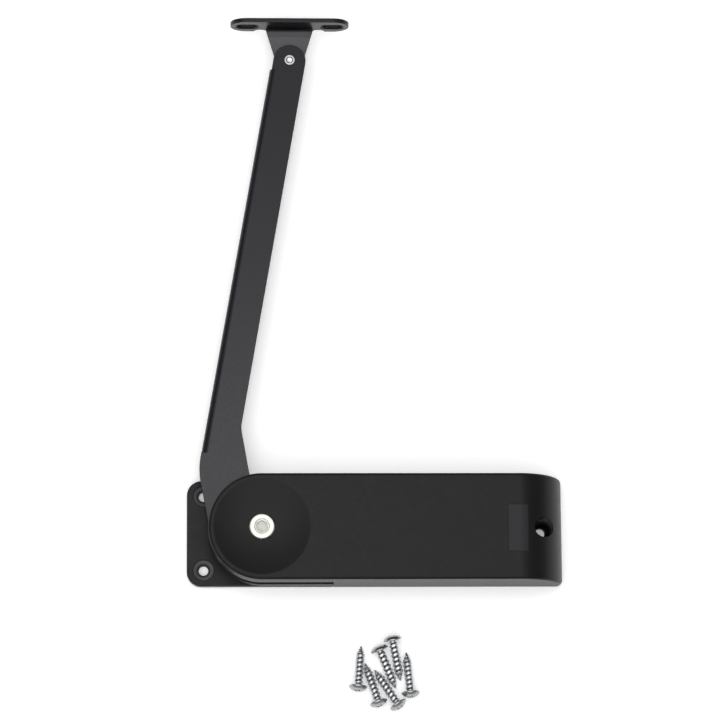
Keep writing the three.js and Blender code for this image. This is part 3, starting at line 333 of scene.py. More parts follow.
def weld(obj, reach):
    """Merges the points that booleans leave next to one another."""
    bm = bmesh.new()
    bm.from_mesh(obj.data)
    bmesh.ops.remove_doubles(bm, verts=bm.verts, dist=reach * MM)
    bmesh.ops.dissolve_degenerate(bm, dist=reach / 4 * MM, edges=bm.edges)
    bm.to_mesh(obj.data)
    bm.free()


def smooth(obj, angle):
    """Shades a body smooth, apart from edges sharper than the angle."""
    for p in obj.data.polygons:
        p.use_smooth = True
    obj.data.set_sharp_from_angle(angle=math.radians(angle))
    normals = obj.modifiers.new("normals", "WEIGHTED_NORMAL")
    normals.keep_sharp = True
    normals.mode = "FACE_AREA"
    return obj


def clean(bm):
    """Merges doubled points, flattens near-flat faces and removes very short edges."""
    flat, shortest = math.radians(0.3), 0.12 * MM
    bmesh.ops.remove_doubles(bm, verts=bm.verts, dist=0.004 * MM)
    bmesh.ops.dissolve_limit(bm, angle_limit=flat, verts=bm.verts, edges=bm.edges)
    for _ in range(6):
        short = [e for e in bm.edges if e.calc_length() < shortest]
        if not short:
            break
        bmesh.ops.collapse(bm, edges=short)
        bmesh.ops.dissolve_degenerate(bm, dist=0.002 * MM, edges=bm.edges)


def soften(obj, width, segments):
    """Rounds the sharp outer edges that have room for it, and shades the body smooth."""
    corner, room = math.radians(32), 1.15 * width * MM
    bm = bmesh.new()
    bm.from_mesh(obj.data)
    clean(bm)
    sharp = {e for e in bm.edges if len(e.link_faces) == 2 and e.calc_face_angle(0) > corner}
    roomy = []
    for e in (e for e in sharp if e.is_convex):
        beside = [o for v in e.verts for o in v.link_edges if o not in sharp]
        if all(o.calc_length() > room for o in beside):
            roomy.append(e)
    bmesh.ops.bevel(bm, geom=roomy, offset=width * MM, segments=segments, profile=0.5, affect="EDGES",
                    clamp_overlap=False, miter_outer="SHARP")
    bmesh.ops.dissolve_degenerate(bm, dist=0.001 * MM, edges=bm.edges)
    bm.to_mesh(obj.data)
    bm.free()
    return smooth(obj, 40)


# ---- Materials ----------------------------------------------------------------------------
def add_node(tree, kind, inputs, **settings):
    """Adds a shader node. Each of its inputs is a value or another node's output."""
    node = tree.nodes.new(f"ShaderNode{kind}")
    for key, value in settings.items():
        setattr(node, key, value)
    for key, value in inputs.items():
        if isinstance(value, bpy.types.NodeSocket):
            tree.links.new(value, node.inputs[key])
        else:
            node.inputs[key].default_value = value
    return node


def math_node(tree, operation, first, second):
    return add_node(tree, "Math", {0: first, 1: second}, operation=operation).outputs[0]


def mix_colors(tree, factor, under, over, blend="MIX"):
    inputs = {"Factor": factor, "A": under, "B": over}
    return add_node(tree, "Mix", inputs, data_type="RGBA", blend_type=blend).outputs["Result"]


def noise(tree, place, scale, detail):
    return add_node(tree, "TexNoise", {"Vector": place, "Scale": scale, "Detail": detail}).outputs["Fac"]


def varied(tree, place, scale, detail, value, spread):
    """A value that noise moves down and up by the spread, over the range where most of the noise lies."""
    inputs = {"Value": noise(tree, place, scale, detail), "From Min": 0.3, "From Max": 0.7,
              "To Min": value - spread, "To Max": value + spread}
    return add_node(tree, "MapRange", inputs).outputs["Result"]


def patch(tree, place, under, is_round, middle, half, color):
    """Another colour inside an ellipsoid or a box, which a half size of math.inf makes endless."""
    away = add_node(tree, "VectorMath", {0: place, 1: [v * MM for v in middle]}, operation="SUBTRACT")
    inputs = {0: away.outputs[0], 1: [1 / (v * MM) for v in half]}
    share = add_node(tree, "VectorMath", inputs, operation="MULTIPLY").outputs[0]
    if is_round:
        reach = add_node(tree, "VectorMath", {0: share}, operation="LENGTH").outputs["Value"]
    else:
        sizes = add_node(tree, "VectorMath", {0: share}, operation="ABSOLUTE").outputs[0]
        x, y, z = add_node(tree, "SeparateXYZ", {0: sizes}).outputs
        reach = math_node(tree, "MAXIMUM", math_node(tree, "MAXIMUM", x, y), z)
    return mix_colors(tree, math_node(tree, "LESS_THAN", reach, 1), under, (*color, 1))


BLOTCHES = (60, 5)  # scale per metre and detail of the noise in the colours
SMUDGES = (900, 3)  # the same for the roughness
# painted shade for the wood screws' thread grooves, cross recess and heads
GROOVE_PAINTED_SHADE = (0.05, 0.05, 0.055, 1)


def material(name, color, roughness, metallic=0.0, specular=0.5, grain=(), vary=0.0, rough_vary=0.0,
             patches=(), dark=None):
    """A Principled material whose colour, roughness and surface vary with noise.

    grain: bumps, each (scale per metre, height in millimetres).
    vary, rough_vary: how far noise moves the colour, as a share of it, and the roughness.
    patches: places of another colour, each (is_round, middle, half size, colour), in millimetres,
        some of them painted light or shade.
    dark: a value stored in the mesh that turns the colour to a painted shade where it is 1."""
    mat = bpy.data.materials.new(name)
    mat.use_nodes = True
    tree = mat.node_tree
    shader = tree.nodes["Principled BSDF"]
    shader.inputs["Metallic"].default_value = metallic
    shader.inputs["Specular IOR Level"].default_value = specular
    place = add_node(tree, "TexCoord", {}).outputs["Object"]

    painted = mix_colors(tree, 1, (*color, 1), varied(tree, place, *BLOTCHES, 1, vary), "MULTIPLY")
    if dark:
        stored = add_node(tree, "Attribute", {}, attribute_name=dark)
        painted = mix_colors(tree, stored.outputs["Fac"], painted, GROOVE_PAINTED_SHADE)
    for spot in patches:
        painted = patch(tree, place, painted, *spot)
    tree.links.new(painted, shader.inputs["Base Color"])
    tree.links.new(varied(tree, place, *SMUDGES, roughness, rough_vary), shader.inputs["Roughness"])

    normal = None
    for scale, height in grain:
        inputs = {"Strength": 1, "Distance": height * MM, "Height": noise(tree, place, scale, 2)}
        if normal:
            inputs["Normal"] = normal
        normal = add_node(tree, "Bump", inputs).outputs["Normal"]
    tree.links.new(normal, shader.inputs["Normal"])
    return mat


def rounds(x, y, sizes):
    """Round patches about an upright axis, from (radius, colour) pairs."""
    return [(True, (x, y, 0), (r, r, math.inf), color) for r, color in sizes]


def gray(tone):
    return (tone, tone, tone)


LABEL_PLACE = (False, (sum(PAD_X) / 2, sum(PAD_Y) / 2, 0),
               ((PAD_X[1] - PAD_X[0]) / 2, (PAD_Y[1] - PAD_Y[0]) / 2, math.inf), (0.019, 0.019, 0.0215))
# painted light on the fixing holes' countersink cones, with a band of painted shade next to the hole
SINK_PAINTED_LIGHT_AND_SHADE = [(5.5, (0.085, 0.085, 0.08925)), (3.8, (0.025, 0.025, 0.02625))]
SINKS_PAINTED_LIGHT_AND_SHADE = [spot for y in (-EAR_Y, EAR_Y) for spot in rounds(EAR_X, y, SINK_PAINTED_LIGHT_AND_SHADE)]
# painted shade in the cap screw's sunk ring and hexagon socket
SOCKET_PAINTED_SHADE = rounds(0, 0, [(3.4, (0.52, 0.52, 0.48))])
# painted shade in a ring round the rivet's dimple, and a painted highlight, near white, in its middle
RIVET_PAINTED_LIGHT_AND_SHADE = rounds(PIVOT.x, PIVOT.y, [(1.95, gray(0.2)), (1.45, gray(0.95))])
# painted light: the bracket's tongue round the pivot, lighter than the rest of the same coating
TONGUE_PAINTED_LIGHT = (False, (PIVOT.x, PIVOT.y, 0), (16, 14.2, math.inf), (0.03, 0.031, 0.036))
# painted shade, near black, on the walls inside the bracket's slots
SLOT_PAINTED_SHADE = [(False, (PIVOT.x + x, PIVOT.y + PLATE_NEAR + PLATE_SHEET / 2, PLATE_MID),
               (6.8, PLATE_SHEET / 2 - 0.1, 4.4), gray(0.001)) for x in (-SLOT_X, SLOT_X)]

COATING_GRAIN = [(2600, 0.002), (500, 0.0015)]

# black plastic and black coatings
MOULDED = material("moulded_black", (0.0068, 0.0068, 0.0076), 0.38, specular=0.14,
                   grain=[(2600, 0.02), (900, 0.015)], vary=0.10, rough_vary=0.04, patches=[LABEL_PLACE])
CAST = material("coated_casting_black", (0.0115, 0.0115, 0.0125), 0.42, specular=0.15,
                grain=[(1500, 0.03), (420, 0.03)], vary=0.14, rough_vary=0.06, patches=SINKS_PAINTED_LIGHT_AND_SHADE)
COATED = material("coated_steel_black", (0.0055, 0.0060, 0.0095), 0.28, specular=0.24,
                  grain=COATING_GRAIN, vary=0.10, rough_vary=0.03)
BRACKET = material("coated_bracket_black", (0.0062, 0.0064, 0.008), 0.28, specular=0.25,
                   grain=COATING_GRAIN, vary=0.10, rough_vary=0.01, patches=SLOT_PAINTED_SHADE + [TONGUE_PAINTED_LIGHT])

# bare and plated metals
NICKEL = material("satin_nickel", (0.80, 0.80, 0.74), 0.58, 1.0,
                  grain=[(1400, 0.008)], vary=0.05, rough_vary=0.06, patches=SOCKET_PAINTED_SHADE)
ZINC = material("bright_zinc", (0.62, 0.63, 0.64), 0.34, 1.0,
                grain=[(1400, 0.005)], vary=0.08, rough_vary=0.05)
RIVET = material("dull_rivet_zinc", (0.62, 0.63, 0.64), 0.5, 1.0,
                 grain=[(1400, 0.004)], vary=0.05, rough_vary=0.04, patches=RIVET_PAINTED_LIGHT_AND_SHADE)
# the wood screws' zinc, with painted shade in the thread grooves, in the recess and on the heads
SCREW_ZINC = material("zinc_with_painted_groove_shade", (0.66, 0.67, 0.68), 0.30, 1.0,
                      grain=[(1400, 0.006)], vary=0.10, rough_vary=0.05, dark="groove_shade")
STEEL = material("machined_steel", (0.42, 0.42, 0.43), 0.34, 1.0,
                 grain=[(900, 0.01)], vary=0.10, rough_vary=0.08)
SPRING = material("oil_tempered_steel", (0.2, 0.19, 0.19), 0.38, 1.0,
                  grain=[(700, 0.02)], vary=0.15, rough_vary=0.08)
BRONZE = material("sintered_bronze", (0.5, 0.32, 0.15), 0.42, 1.0,
                  grain=[(2500, 0.03)], vary=0.12, rough_vary=0.08)

# plain plastic and rubber
NYLON = material("natural_nylon", (0.62, 0.61, 0.56), 0.5, grain=[(600, 0.02)], vary=0.05, rough_vary=0.05)
RUBBER = material("black_rubber", gray(0.02), 0.8, grain=[(800, 0.04)], vary=0.1, rough_vary=0.05)


def paint(obj, mat):
    obj.data.materials.clear()
    obj.data.materials.append(mat)
    for p in obj.data.polygons:
        p.material_index = 0


def finish_piece(obj, mat, body, replaced):
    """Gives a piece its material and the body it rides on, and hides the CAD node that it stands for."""
    paint(obj, mat)
    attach(obj, body)
    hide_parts(replaced)


# ---- Cover --------------------------------------------------------------------------------
def side_outline(inset, lift):
    """The side view above the floor: flat top, then a quarter ellipse down to the far end."""
    left, low, steps = -70, -10, 40
    pts = [(left, low), (REACH - inset, low)]
    for i in range(steps + 1):
        a = math.radians(90 * i / steps)
        pts.append((REACH - SLOPE + (SLOPE - inset) * math.cos(a), (TOP - inset) * math.sin(a)))
    pts.append((left, TOP - inset + lift))
    return pts


def side_body(name, inset, lift=0.0, edge=0.0):
    """The side view as a body, which is as wide as the housing if edge rounds it, and wider if not."""
    sections = [(-60.0, 0), (60.0, 0)]
    if edge:
        near = [(y - HALF, edge - rise) for y, rise in arc(edge, 0, edge, 180, 90, 6)]
        sections = near + [(-y, sunk) for y, sunk in reversed(near)]
    return stack(name, [[(x, y, z) for x, z in side_outline(inset + sunk, lift)] for y, sunk in sections])


def dish_cutter(name, lower=0.0):
    """The space over the dish, part of a sphere with a soft lip, or the same shape lower down."""
    sphere = (DISH_RADIUS ** 2 + DISH_DEPTH ** 2) / (2 * DISH_DEPTH)
    floor = TOP - DISH_DEPTH - lower
    lean, end = math.asin(DISH_RADIUS / sphere), math.radians(2)  # slope without the lip, and at its end
    inner = DISH_RADIUS - DISH_LIP * (math.sin(lean) - math.sin(end)) / 2
    dish_steps, lip_steps = 14, 5
    profile = []
    for i in range(dish_steps + 1):
        r = inner * i / dish_steps
        profile.append((r, floor + sphere - math.sqrt(sphere ** 2 - r ** 2)))
    start = math.asin(inner / sphere)
    r0, z0 = profile[-1]
    for i in range(1, lip_steps + 1):
        a = start + (end - start) * i / lip_steps
        r = r0 + DISH_LIP * (math.sin(start) - math.sin(a))
        profile.append((r, z0 + DISH_LIP * (math.cos(a) - math.cos(start))))
    rim, rim_z = profile[-1]
    if not lower:  # what the rim lacks to the top is spread over the dish
        profile = [(r, z + (TOP - rim_z) * (r / rim) ** 2) for r, z in profile]
    past, above = 12, TOP + 8
    profile += [(rim + past, profile[-1][1] + past * math.tan(end)), (rim + past, above), (0, above)]
    return turned(name, profile, 144)


def make_cover():
    cover = domed("cover_moulding", lambda inset: housing_plan(inset, REACH, FAR_CORNER), SKIRT, TOP, FILLET)
    common(cover, side_body("side", 0, lift=0.4, edge=FILLET))
    room = prism("room", housing_plan(WALL, REACH, FAR_CORNER), -5, TOP + 5)
    common(room, side_body("inner", WALL))
    cut(room, dish_cutter("under_dish", lower=WALL))
    cut(cover, room)
    cut(cover, block("slot", -60, SLOT_REACH + 0.15, -60, 60, -5, SLOT_TOP))
    tube = post("tube", FAR_X, 0, ACCESS_TUBE, EAR_TOP + 0.3, TOP + 1)
    join(cover, common(tube, side_body("trim", 0.6)))
    cut(cover, post("bore", FAR_X, 0, ACCESS_BORE, -1, TOP + 2))
    cut(cover, dish_cutter("dish"))
    cut(cover, post("screw_hole", 0, 0, SCREW_HOLE, SLOT_TOP, TOP + 2, 72))
    label = block("label", *PAD_X, *PAD_Y, 20, TOP + 3)
    cut(cover, cut(label, side_body("label_floor", PAD_DEPTH)))
    return soften(cover, 0.2, 2)


# ---- Base ---------------------------------------------------------------------------------
def fixing_way(*sink):
    """The profile of a fixing hole and its sink, which is given as (radius, depth below the top) pairs."""
    profile = [(0, -1), (FIXING_HOLE, -1)] + [(r, EAR_TOP - depth) for r, depth in sink]
    above = EAR_TOP + 2
    return profile + [(sink[-1][0], above), (0, above)]


def make_base():
    end = SLOT_REACH + 0.1  # the end of the boss, just past the slot's
    far, half = REACH - WALL - 0.6, HALF - WALL - 0.3  # the floor's edges, clear of the cover's walls
    base = domed("base_casting", lambda inset: box_plan(BASE_END, end - 1, HALF, EAR_CORNER, 1, inset, 16),
                 0, EAR_TOP, EAR_EDGE)
    join(base, prism("boss", housing_plan(0, end, 0.1), 0, BOSS_TOP))
    join(base, prism("floor", box_plan(end - 2, far, half, 0.5, 3), 0, BASE_FLOOR))
    join(base, post("far_boss", FAR_X, 0, ACCESS_TUBE, 0, EAR_TOP, 48))
    for y in (-EAR_Y, EAR_Y):
        way = fixing_way((FIXING_HOLE, 2.2), (3.1, 1.8), (5.5, 0.7), (5.75, 0))
        cut(base, move(turned("ear_hole", way, 64), EAR_X, y))
    way = fixing_way((FIXING_HOLE, 2.55), (5.2, 0))
    cut(base, move(turned("far_hole", way, 64), FAR_X, 0))
    cut(base, post("pocket", 0, 0, SPINDLE_POCKET, 1, BOSS_TOP + 1))
    cut(base, block("channel", *RACK_X, *RACK_Y, RACK_FLOOR, BOSS_TOP + 1))
    for span in CORE_SPANS:
        hollow = prism("hollow", housing_plan(3, end - 3, 0.5), BASE_FLOOR, BOSS_TOP + 1)
        cut(base, common(hollow, block("span", *span, CORE_Y, 40, BASE_FLOOR - 1, BOSS_TOP + 2)))
    cover_screw_way = [(0, -1), (3.1, -1), (3.1, 0.4), (1.75, 1.75), (1.75, 6), (0, 6)]
    for x, y, _ in COVER_SCREWS:
        cut(base, move(turned("way", cover_screw_way, 32), x, y))
    for x, y, _ in FRAME_SCREWS:
        cut(base, post("blind", x, y, BLIND_HOLE, 1, 6, 24))
    return soften(base, 0.2, 2)


# ---- Arm ----------------------------------------------------------------------------------
def blade_outline():
    """The blade from the hub up its inner edge, round the tip and down its outer edge."""
    inner_x, inner_bend = -20.8, 54.1  # the straight inner edge, and where it turns to the hub
    inner_lean, outer_lean = math.radians(20.1), math.radians(20.5)  # of the two edges by the hub
    neck = 27.7  # from the spindle to the outer edge by the hub
    touch = (-neck * math.cos(outer_lean), -neck * math.sin(outer_lean))
    shoulder = (FLANGE_X, touch[1] + (touch[0] - FLANGE_X) / math.tan(outer_lean))
    in_hub = (inner_x + math.tan(inner_lean) * inner_bend, 0.0)
    end = FLANGE_Y[1]
    pts = [touch, in_hub]
    pts += rounded_corner(in_hub, (inner_x, inner_bend), (inner_x, ARM_REACH), 16, 12)
    pts += arc(ARM_OFFSET, ARM_REACH, ARM_TIP, 0, 180, 40)
    pts += [(ARM_OFFSET - ARM_TIP, end), (FLANGE_X, end)]
    pts += rounded_corner((FLANGE_X, end), shoulder, touch, 40, 14)
    return pts


def flange_section():
    """The folded edge, in XZ: a bend, and the strip that hangs from it."""
    x, z = FLANGE_X + FLANGE_BEND, ARM_TOP - FLANGE_BEND
    section = [(x + 0.5, ARM_TOP)] + arc(x, z, FLANGE_BEND, 90, 180, 10)
    section += [(FLANGE_X, ARM_TOP - FLANGE_HEIGHT), (FLANGE_X + ARM_SHEET, ARM_TOP - FLANGE_HEIGHT)]
    return section + arc(x, z, FLANGE_BEND - ARM_SHEET, 180, 90, 6) + [(x + 0.5, ARM_BOTTOM)]


def make_arm():
    through = (ARM_BOTTOM - 3.5, ARM_TOP + 3.5)
    fold = (FLANGE_X - 1.2, FLANGE_X + FLANGE_BEND, FLANGE_Y[0] + 0.6, FLANGE_Y[1])  # cleared for the flange
    arm = prism("swing_arm_pressing", blade_outline(), ARM_BOTTOM, ARM_TOP)
    join(arm, post("hub", 0, 0, HUB_RADIUS, ARM_BOTTOM, ARM_TOP, 160))
    cut(arm, block("fold_room", *fold, *through))
    join(arm, xz_prism("flange", flange_section(), *FLANGE_Y))
    cut(arm, post("pivot", ARM_OFFSET, ARM_REACH, PIVOT_HOLE, *through, 40))
    square = block("square", -HUB_SQUARE, HUB_SQUARE, -HUB_SQUARE, HUB_SQUARE, *through)
    for obj in (arm, square):
        obj.data.transform(Matrix.Rotation(ARM_LEAN, 4, "Z"))
    cut(arm, common(square, post("turned", 0, 0, HUB_ROUND, through[0] - 1, through[1] + 1)))
    return soften(arm, 0.25, 3)


# ---- Door bracket -------------------------------------------------------------------------
def slot_cutters(x):
    """The way through the plate and the sink on its near face, at one slot."""
    left, right = x - SLOT_HALF, x + SLOT_HALF
    before, sunk, after = PLATE_NEAR - 1, PLATE_NEAR + SINK_DEPTH, PLATE_FAR + 1
    section = [(PLATE_NEAR, PLATE_MID - SLOT_WIDE), (sunk, PLATE_MID - SLOT_NARROW),
               (sunk, PLATE_MID + SLOT_NARROW), (PLATE_NEAR, PLATE_MID + SLOT_WIDE)]
    sink = yz_prism("sink", section, left, right)
    way = block("way", left, right, before, after, PLATE_MID - SLOT_NARROW, PLATE_MID + SLOT_NARROW)
    for end in (left, right):
        join(sink, y_post("end", end, PLATE_MID, SLOT_WIDE, SLOT_NARROW, PLATE_NEAR, sunk))
        join(way, y_post("end", end, PLATE_MID, SLOT_NARROW, SLOT_NARROW, before, after))
    return way, sink


def make_tongue():
    """The tongue: level at the pivot, then rising, then bent up into the plate."""
    turn = math.degrees(TONGUE_RISE) - 90
    tip, above = -10, BEND_Z + 1
    section = [(tip, TONGUE_BOTTOM), (TONGUE_LEVEL, TONGUE_BOTTOM)]
    section += arc(BEND_Y, BEND_Z, BEND_OUTSIDE, turn, 0, 10) + [(PLATE_FAR, above), (PLATE_NEAR, above)]
    section += arc(BEND_Y, BEND_Z, BEND_INSIDE, 0, turn, 8) + [(TONGUE_LEVEL, TONGUE_TOP), (tip, TONGUE_TOP)]
    root = Vector((TONGUE_ROOT, PLATE_NEAR))
    touch = math.degrees(math.atan2(root.y, root.x) - math.acos(TONGUE_END / root.length))
    plan = arc(0, 0, TONGUE_END, 180 - touch, 360 + touch, 48)
    plan += [(TONGUE_ROOT, PLATE_NEAR), (TONGUE_ROOT, PLATE_FAR + 1)]
    plan += [(-TONGUE_ROOT, PLATE_FAR + 1), (-TONGUE_ROOT, PLATE_NEAR)]
    return common(yz_prism("tongue", section, -14, 14), prism("plan", plan, 0, 30))


def make_bracket():
    straight = PLATE_LENGTH / 2 - PLATE_RADIUS
    outline = arc(straight, PLATE_MID, PLATE_RADIUS, -90, 90, 32)
    outline += arc(-straight, PLATE_MID, PLATE_RADIUS, 90, 270, 32)
    plate = xz_prism("bracket_pressing", outline, PLATE_NEAR, PLATE_FAR)
    past = (PLATE_NEAR - 1, PLATE_FAR + 1)
    cut(plate, block("bend_room", -TONGUE_ROOT, TONGUE_ROOT, *past, 0, BEND_Z))
    for side in (-1, 1):
        cut(plate, y_post("relief", side * RELIEF_X, TONGUE_BOTTOM, RELIEF_RADIUS, RELIEF_RADIUS, *past))
        cut(plate, *slot_cutters(side * SLOT_X))
    join(plate, make_tongue())
    cut(plate, post("pivot", 0, 0, PIVOT_HOLE, 0, 30, 40))
    return soften(move(plate, *PIVOT), 0.25, 3)


# ---- Return spring ------------------------------------------------------------------------
def make_spring():
    """A coil of round wire that runs along X between its two seats."""
    per_turn, sides = 28, 10
    slope = (SPRING_END - SPRING_START - 2 * SPRING_WIRE) / (2 * math.pi * SPRING_TURNS)
    around = [2 * math.pi * k / sides for k in range(sides)]
    rings = []
    for i in range(SPRING_TURNS * per_turn + 1):
        a = 2 * math.pi * i / per_turn
        y, z = SPRING_COIL * math.cos(a), SPRING_COIL * math.sin(a)
        wire = Vector((SPRING_START + SPRING_WIRE + slope * a, SPRING_Y + y, SPRING_Z + z))
        out = Vector((0, math.cos(a), math.sin(a)))
        across = Vector((slope, -z, y)).normalized().cross(out)
        rings.append([tuple(wire + (out * math.cos(b) + across * math.sin(b)) * SPRING_WIRE) for b in around])
    return smooth(stack("return_spring_coil", rings), 60)


# ---- Fasteners ----------------------------------------------------------------------------
def make_cap_screw():
    """The screw in the dish: a round-edged head with a ring sunk round its hexagon socket."""
    low, high = corners("cap_screw")
    tip, top, r = low[2], high[2], high[0]
    under, shank, edge = top - 5.4, 2.5, 0.7
    socket, socket_depth, ring_depth = 3.3, 2.4, 0.75
    profile = [(0, tip), (shank, tip), (shank, under), (r - 0.2, under), (r, under + 0.2)]
    profile += arc(r - edge, top - edge, edge, 0, 90, 6)
    profile += [(4.15, top), (4.05, top - 0.3), (3.45, top - ring_depth), (0, top - ring_depth)]
    screw = turned("spindle_screw", profile)
    hexagon = arc(0, 0, socket, 30, 330, 5)
    cut(screw, prism("socket", hexagon, top - socket_depth, top + 1))
    return soften(screw, 0.08, 2)


def make_rivet():
    """The rivet through the arm and the bracket: a wide foot below, a small dimpled head above."""
    foot, cap = TONGUE_BOTTOM - 0.3, ARM_TOP + 0.3
    top = cap + 0.9
    profile = [(0, foot - 1.2), (3.2, foot - 1.2), (3.8, foot - 0.9), (4, foot - 0.5), (4, foot), (2.2, foot),
               (2.2, cap), (2.75, cap), (2.9, cap + 0.15), (2.9, top - 0.35), (2.8, top - 0.12), (2.6, top),
               (2.1, top), (1.85, top - 0.15), (1.6, top - 0.6), (1.3, top - 0.85), (0, top - 0.9)]
    return smooth(move(turned("pivot_rivet_head", profile, 64), *PIVOT), 50)


# ---- Wood screws, drawn with the head's underside at 0 and the tip up -----------------------
def clamp(value):
    return min(1.0, max(0.0, value))


def from_crest(z, turn):
    """How far a point is from the thread's crest: 0 on it, and 1 midway to the next."""
    along = z / SCREW_PITCH - turn
    return abs(along - round(along)) * 2


def shank_radius(z, turn):
    """The radius at a height and a part of a turn: a core, a rounded thread, and a point."""
    start, run_in = 0.6, 1.4  # where the thread starts, and the length over which it grows
    ridge, fullness = 0.85, 1.6  # the thread's width, as a share of the pitch, and how broad its crest is
    to_tip = min(1.0, (SCREW_LENGTH - z) / SCREW_POINT)
    core = SCREW_CORE * (0.06 + 0.94 * to_tip ** 0.8)
    thread = (SCREW_CREST - SCREW_CORE) * min(1.0, 1.3 * to_tip + 0.1) * clamp((z - start) / run_in)
    rise = max(0.0, 1 - from_crest(z, turn) / ridge)
    r = core + thread * math.sin(math.pi / 2 * min(1.0, rise * fullness))
    return r if to_tip == 1 else min(r, SCREW_CREST * (0.12 + 0.88 * to_tip))


def make_shank():
    columns, per_turn = 32, 18
    count = int(SCREW_LENGTH / SCREW_PITCH * per_turn)
    rings = []
    for i in range(count + 1):
        z = SCREW_LENGTH * i / count
        ring = []
        for k in range(columns):
            r, a = shank_radius(z, k / columns), 2 * math.pi * k / columns
            ring.append((r * math.cos(a), r * math.sin(a), z))
        rings.append(ring)
    return stack("wood_screw_shank", rings)


def make_head():
    """A domed head with a cross recess, on a neck that reaches into the shank."""
    top = -SCREW_DOME
    shape = [(0, 1), (1.2, 0.995), (2.4, 0.94), (3.4, 0.82), (4.1, 0.64), (4.65, 0.42), (4.9, 0.28),
             (SCREW_HEAD, 0.16), (4.9, 0.05), (4.7, 0)]  # radii, and heights as shares of the dome
    neck = [(2.4, 0.0), (1.9, 0.35), (1.2, 0.4), (0, 0.4)]
    head = turned("wood_screw_head", [(r, top * share) for r, share in shape] + neck, 64)
    for x, y in (RECESS, reversed(RECESS)):
        cut(head, block("recess", -x, x, -y, y, top - 1, top + 1.5))
    well = [(0, top + 1.9), (0.9, top + 1.0), (1.25, top - 0.5), (0, top - 0.5)]
    return cut(head, turned("recess_well", well, 24))


def paint_groove_shade(obj):
    """Stores how much painted shade each point gets: in the thread's grooves, in the recess, and on the rest
    of the head.
    """
    recess_shade, head_shade = 0.85, 0.45
    bright, blend = 0.62, 0.25  # the thread keeps its own colour this far from its crest, then painted shade grows over blend
    groove_shade = obj.data.attributes.new("groove_shade", "FLOAT", "POINT")
    for v in obj.data.vertices:
        x, y, z = v.co / MM
        if 0.3 < z < SCREW_LENGTH - 0.5:
            tone = clamp((from_crest(z, math.atan2(y, x) / (2 * math.pi)) - bright) / blend)
        elif math.hypot(x, y) < 2.5 and -0.9 * SCREW_DOME < z < -0.3:
            tone = recess_shade
        else:
            tone = head_shade
        groove_shade.data[v.index].value = tone


def make_wood_screw():
    screw = join(make_head(), make_shank())
    weld(screw, 0.003)
    paint_groove_shade(screw)
    return smooth(screw, 45)


def lay_screw(mesh, x, y, bearing, turn):
    """Lays a screw on the floor, on the rim of its head and the end of its thread, 0.1 mm clear."""
    droop = math.atan((SCREW_HEAD - SCREW_CREST) / (SCREW_LENGTH - SCREW_POINT))
    pointing = Euler((0, droop, math.radians(bearing))).to_matrix() @ Vector((1, 0, 0))
    aim = Vector((0, 0, 1)).rotation_difference(pointing).to_matrix().to_4x4()
    place = Vector((x, y, SCREW_HEAD * math.cos(droop) + 0.1)) * MM
    spin = Matrix.Rotation(math.radians(turn), 4, "Z")
    mesh.transform(Matrix.Translation(place) @ aim @ spin)


# ---- The pieces ---------------------------------------------------------------------------
finish_piece(make_cover(), MOULDED, "housing", "cover")
finish_piece(make_base(), CAST, "housing", "base_plate")
finish_piece(make_arm(), COATED, "swing_arm", "arm")
finish_piece(make_bracket(), BRACKET, "bracket", "door_bracket")
finish_piece(make_cap_screw(), NICKEL, "swing_arm", "cap_screw")
finish_piece(make_rivet(), RIVET, "swing_arm", "pivot_rivet")

spring = make_spring()
finish_piece(spring, SPRING, "housing", "return_spring")
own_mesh(spring)

pattern = make_wood_screw()
for index, (x, y, bearing) in enumerate(LOOSE):
    screw = pattern.copy()
    screw.name = f"loose_screw_{index + 1}"
    screw.data = pattern.data.copy()
    bpy.context.scene.collection.objects.link(screw)
    lay_screw(screw.data, x, y, bearing, 20 + 37 * index)
    finish_piece(screw, SCREW_ZINC, "housing", f"wood_screw_{index + 1}")
drop(pattern)

CARRIED_OVER = [
    (STEEL, ["chassis_frame", "bearing_plate", "guide_rod", "spring_seat", "damper_cylinder", "spindle",
             "slip_washer", "rack_carriage"]),
    (ZINC, ["guide_rod_nut", "damper_nut", "damper_rod"]),
    (BRONZE, ["lower_bush", "upper_bush"]),
    (NYLON, ["damper_gland", "hub_spacer", "pivot_washer"]),
    (RUBBER, ["stop_buffer"]),
    (SPRING, ["cap_washer"]),
]
for mat, names in CARRIED_OVER:
    for name in names:
        paint(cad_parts[name], mat)
for name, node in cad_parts.items():
    if name.startswith(("cover_screw", "frame_screw", "bearing_screw")):
        paint(node, ZINC)


# ---- Floor, lights and camera -------------------------------------------------------------
def floor_material(color, glow):
    """A pale surface with a glow that only the camera and glossy surfaces see."""
    mat = bpy.data.materials.new("pale_floor")
    mat.use_nodes = True
    tree = mat.node_tree
    tree.nodes.clear()
    path = add_node(tree, "LightPath", {})
    seen = math_node(tree, "MAXIMUM", path.outputs["Is Camera Ray"], path.outputs["Is Glossy Ray"])
    strength = math_node(tree, "MULTIPLY", seen, glow)
    diffuse = add_node(tree, "BsdfDiffuse", {"Color": (*color, 1)}).outputs[0]
    emission = add_node(tree, "Emission", {"Color": (1, 1, 1, 1), "Strength": strength}).outputs[0]
    both = add_node(tree, "AddShader", {0: diffuse, 1: emission}).outputs[0]
    add_node(tree, "OutputMaterial", {"Surface": both})
    return mat


def make_floor(half, gap):
    """A square floor that reaches half to each side, in metres, a hair below the object."""
    mesh = bpy.data.meshes.new("floor")
    square = [(-half, -half, 0), (half, -half, 0), (half, half, 0), (-half, half, 0)]
    mesh.from_pydata(square, [], [(0, 1, 2, 3)])
    mesh.materials.append(floor_material(gray(0.93), glow=0.27))
    floor = bpy.data.objects.new("floor", mesh)
    bpy.context.scene.collection.objects.link(floor)
    floor.location.z = -gap
    return floor


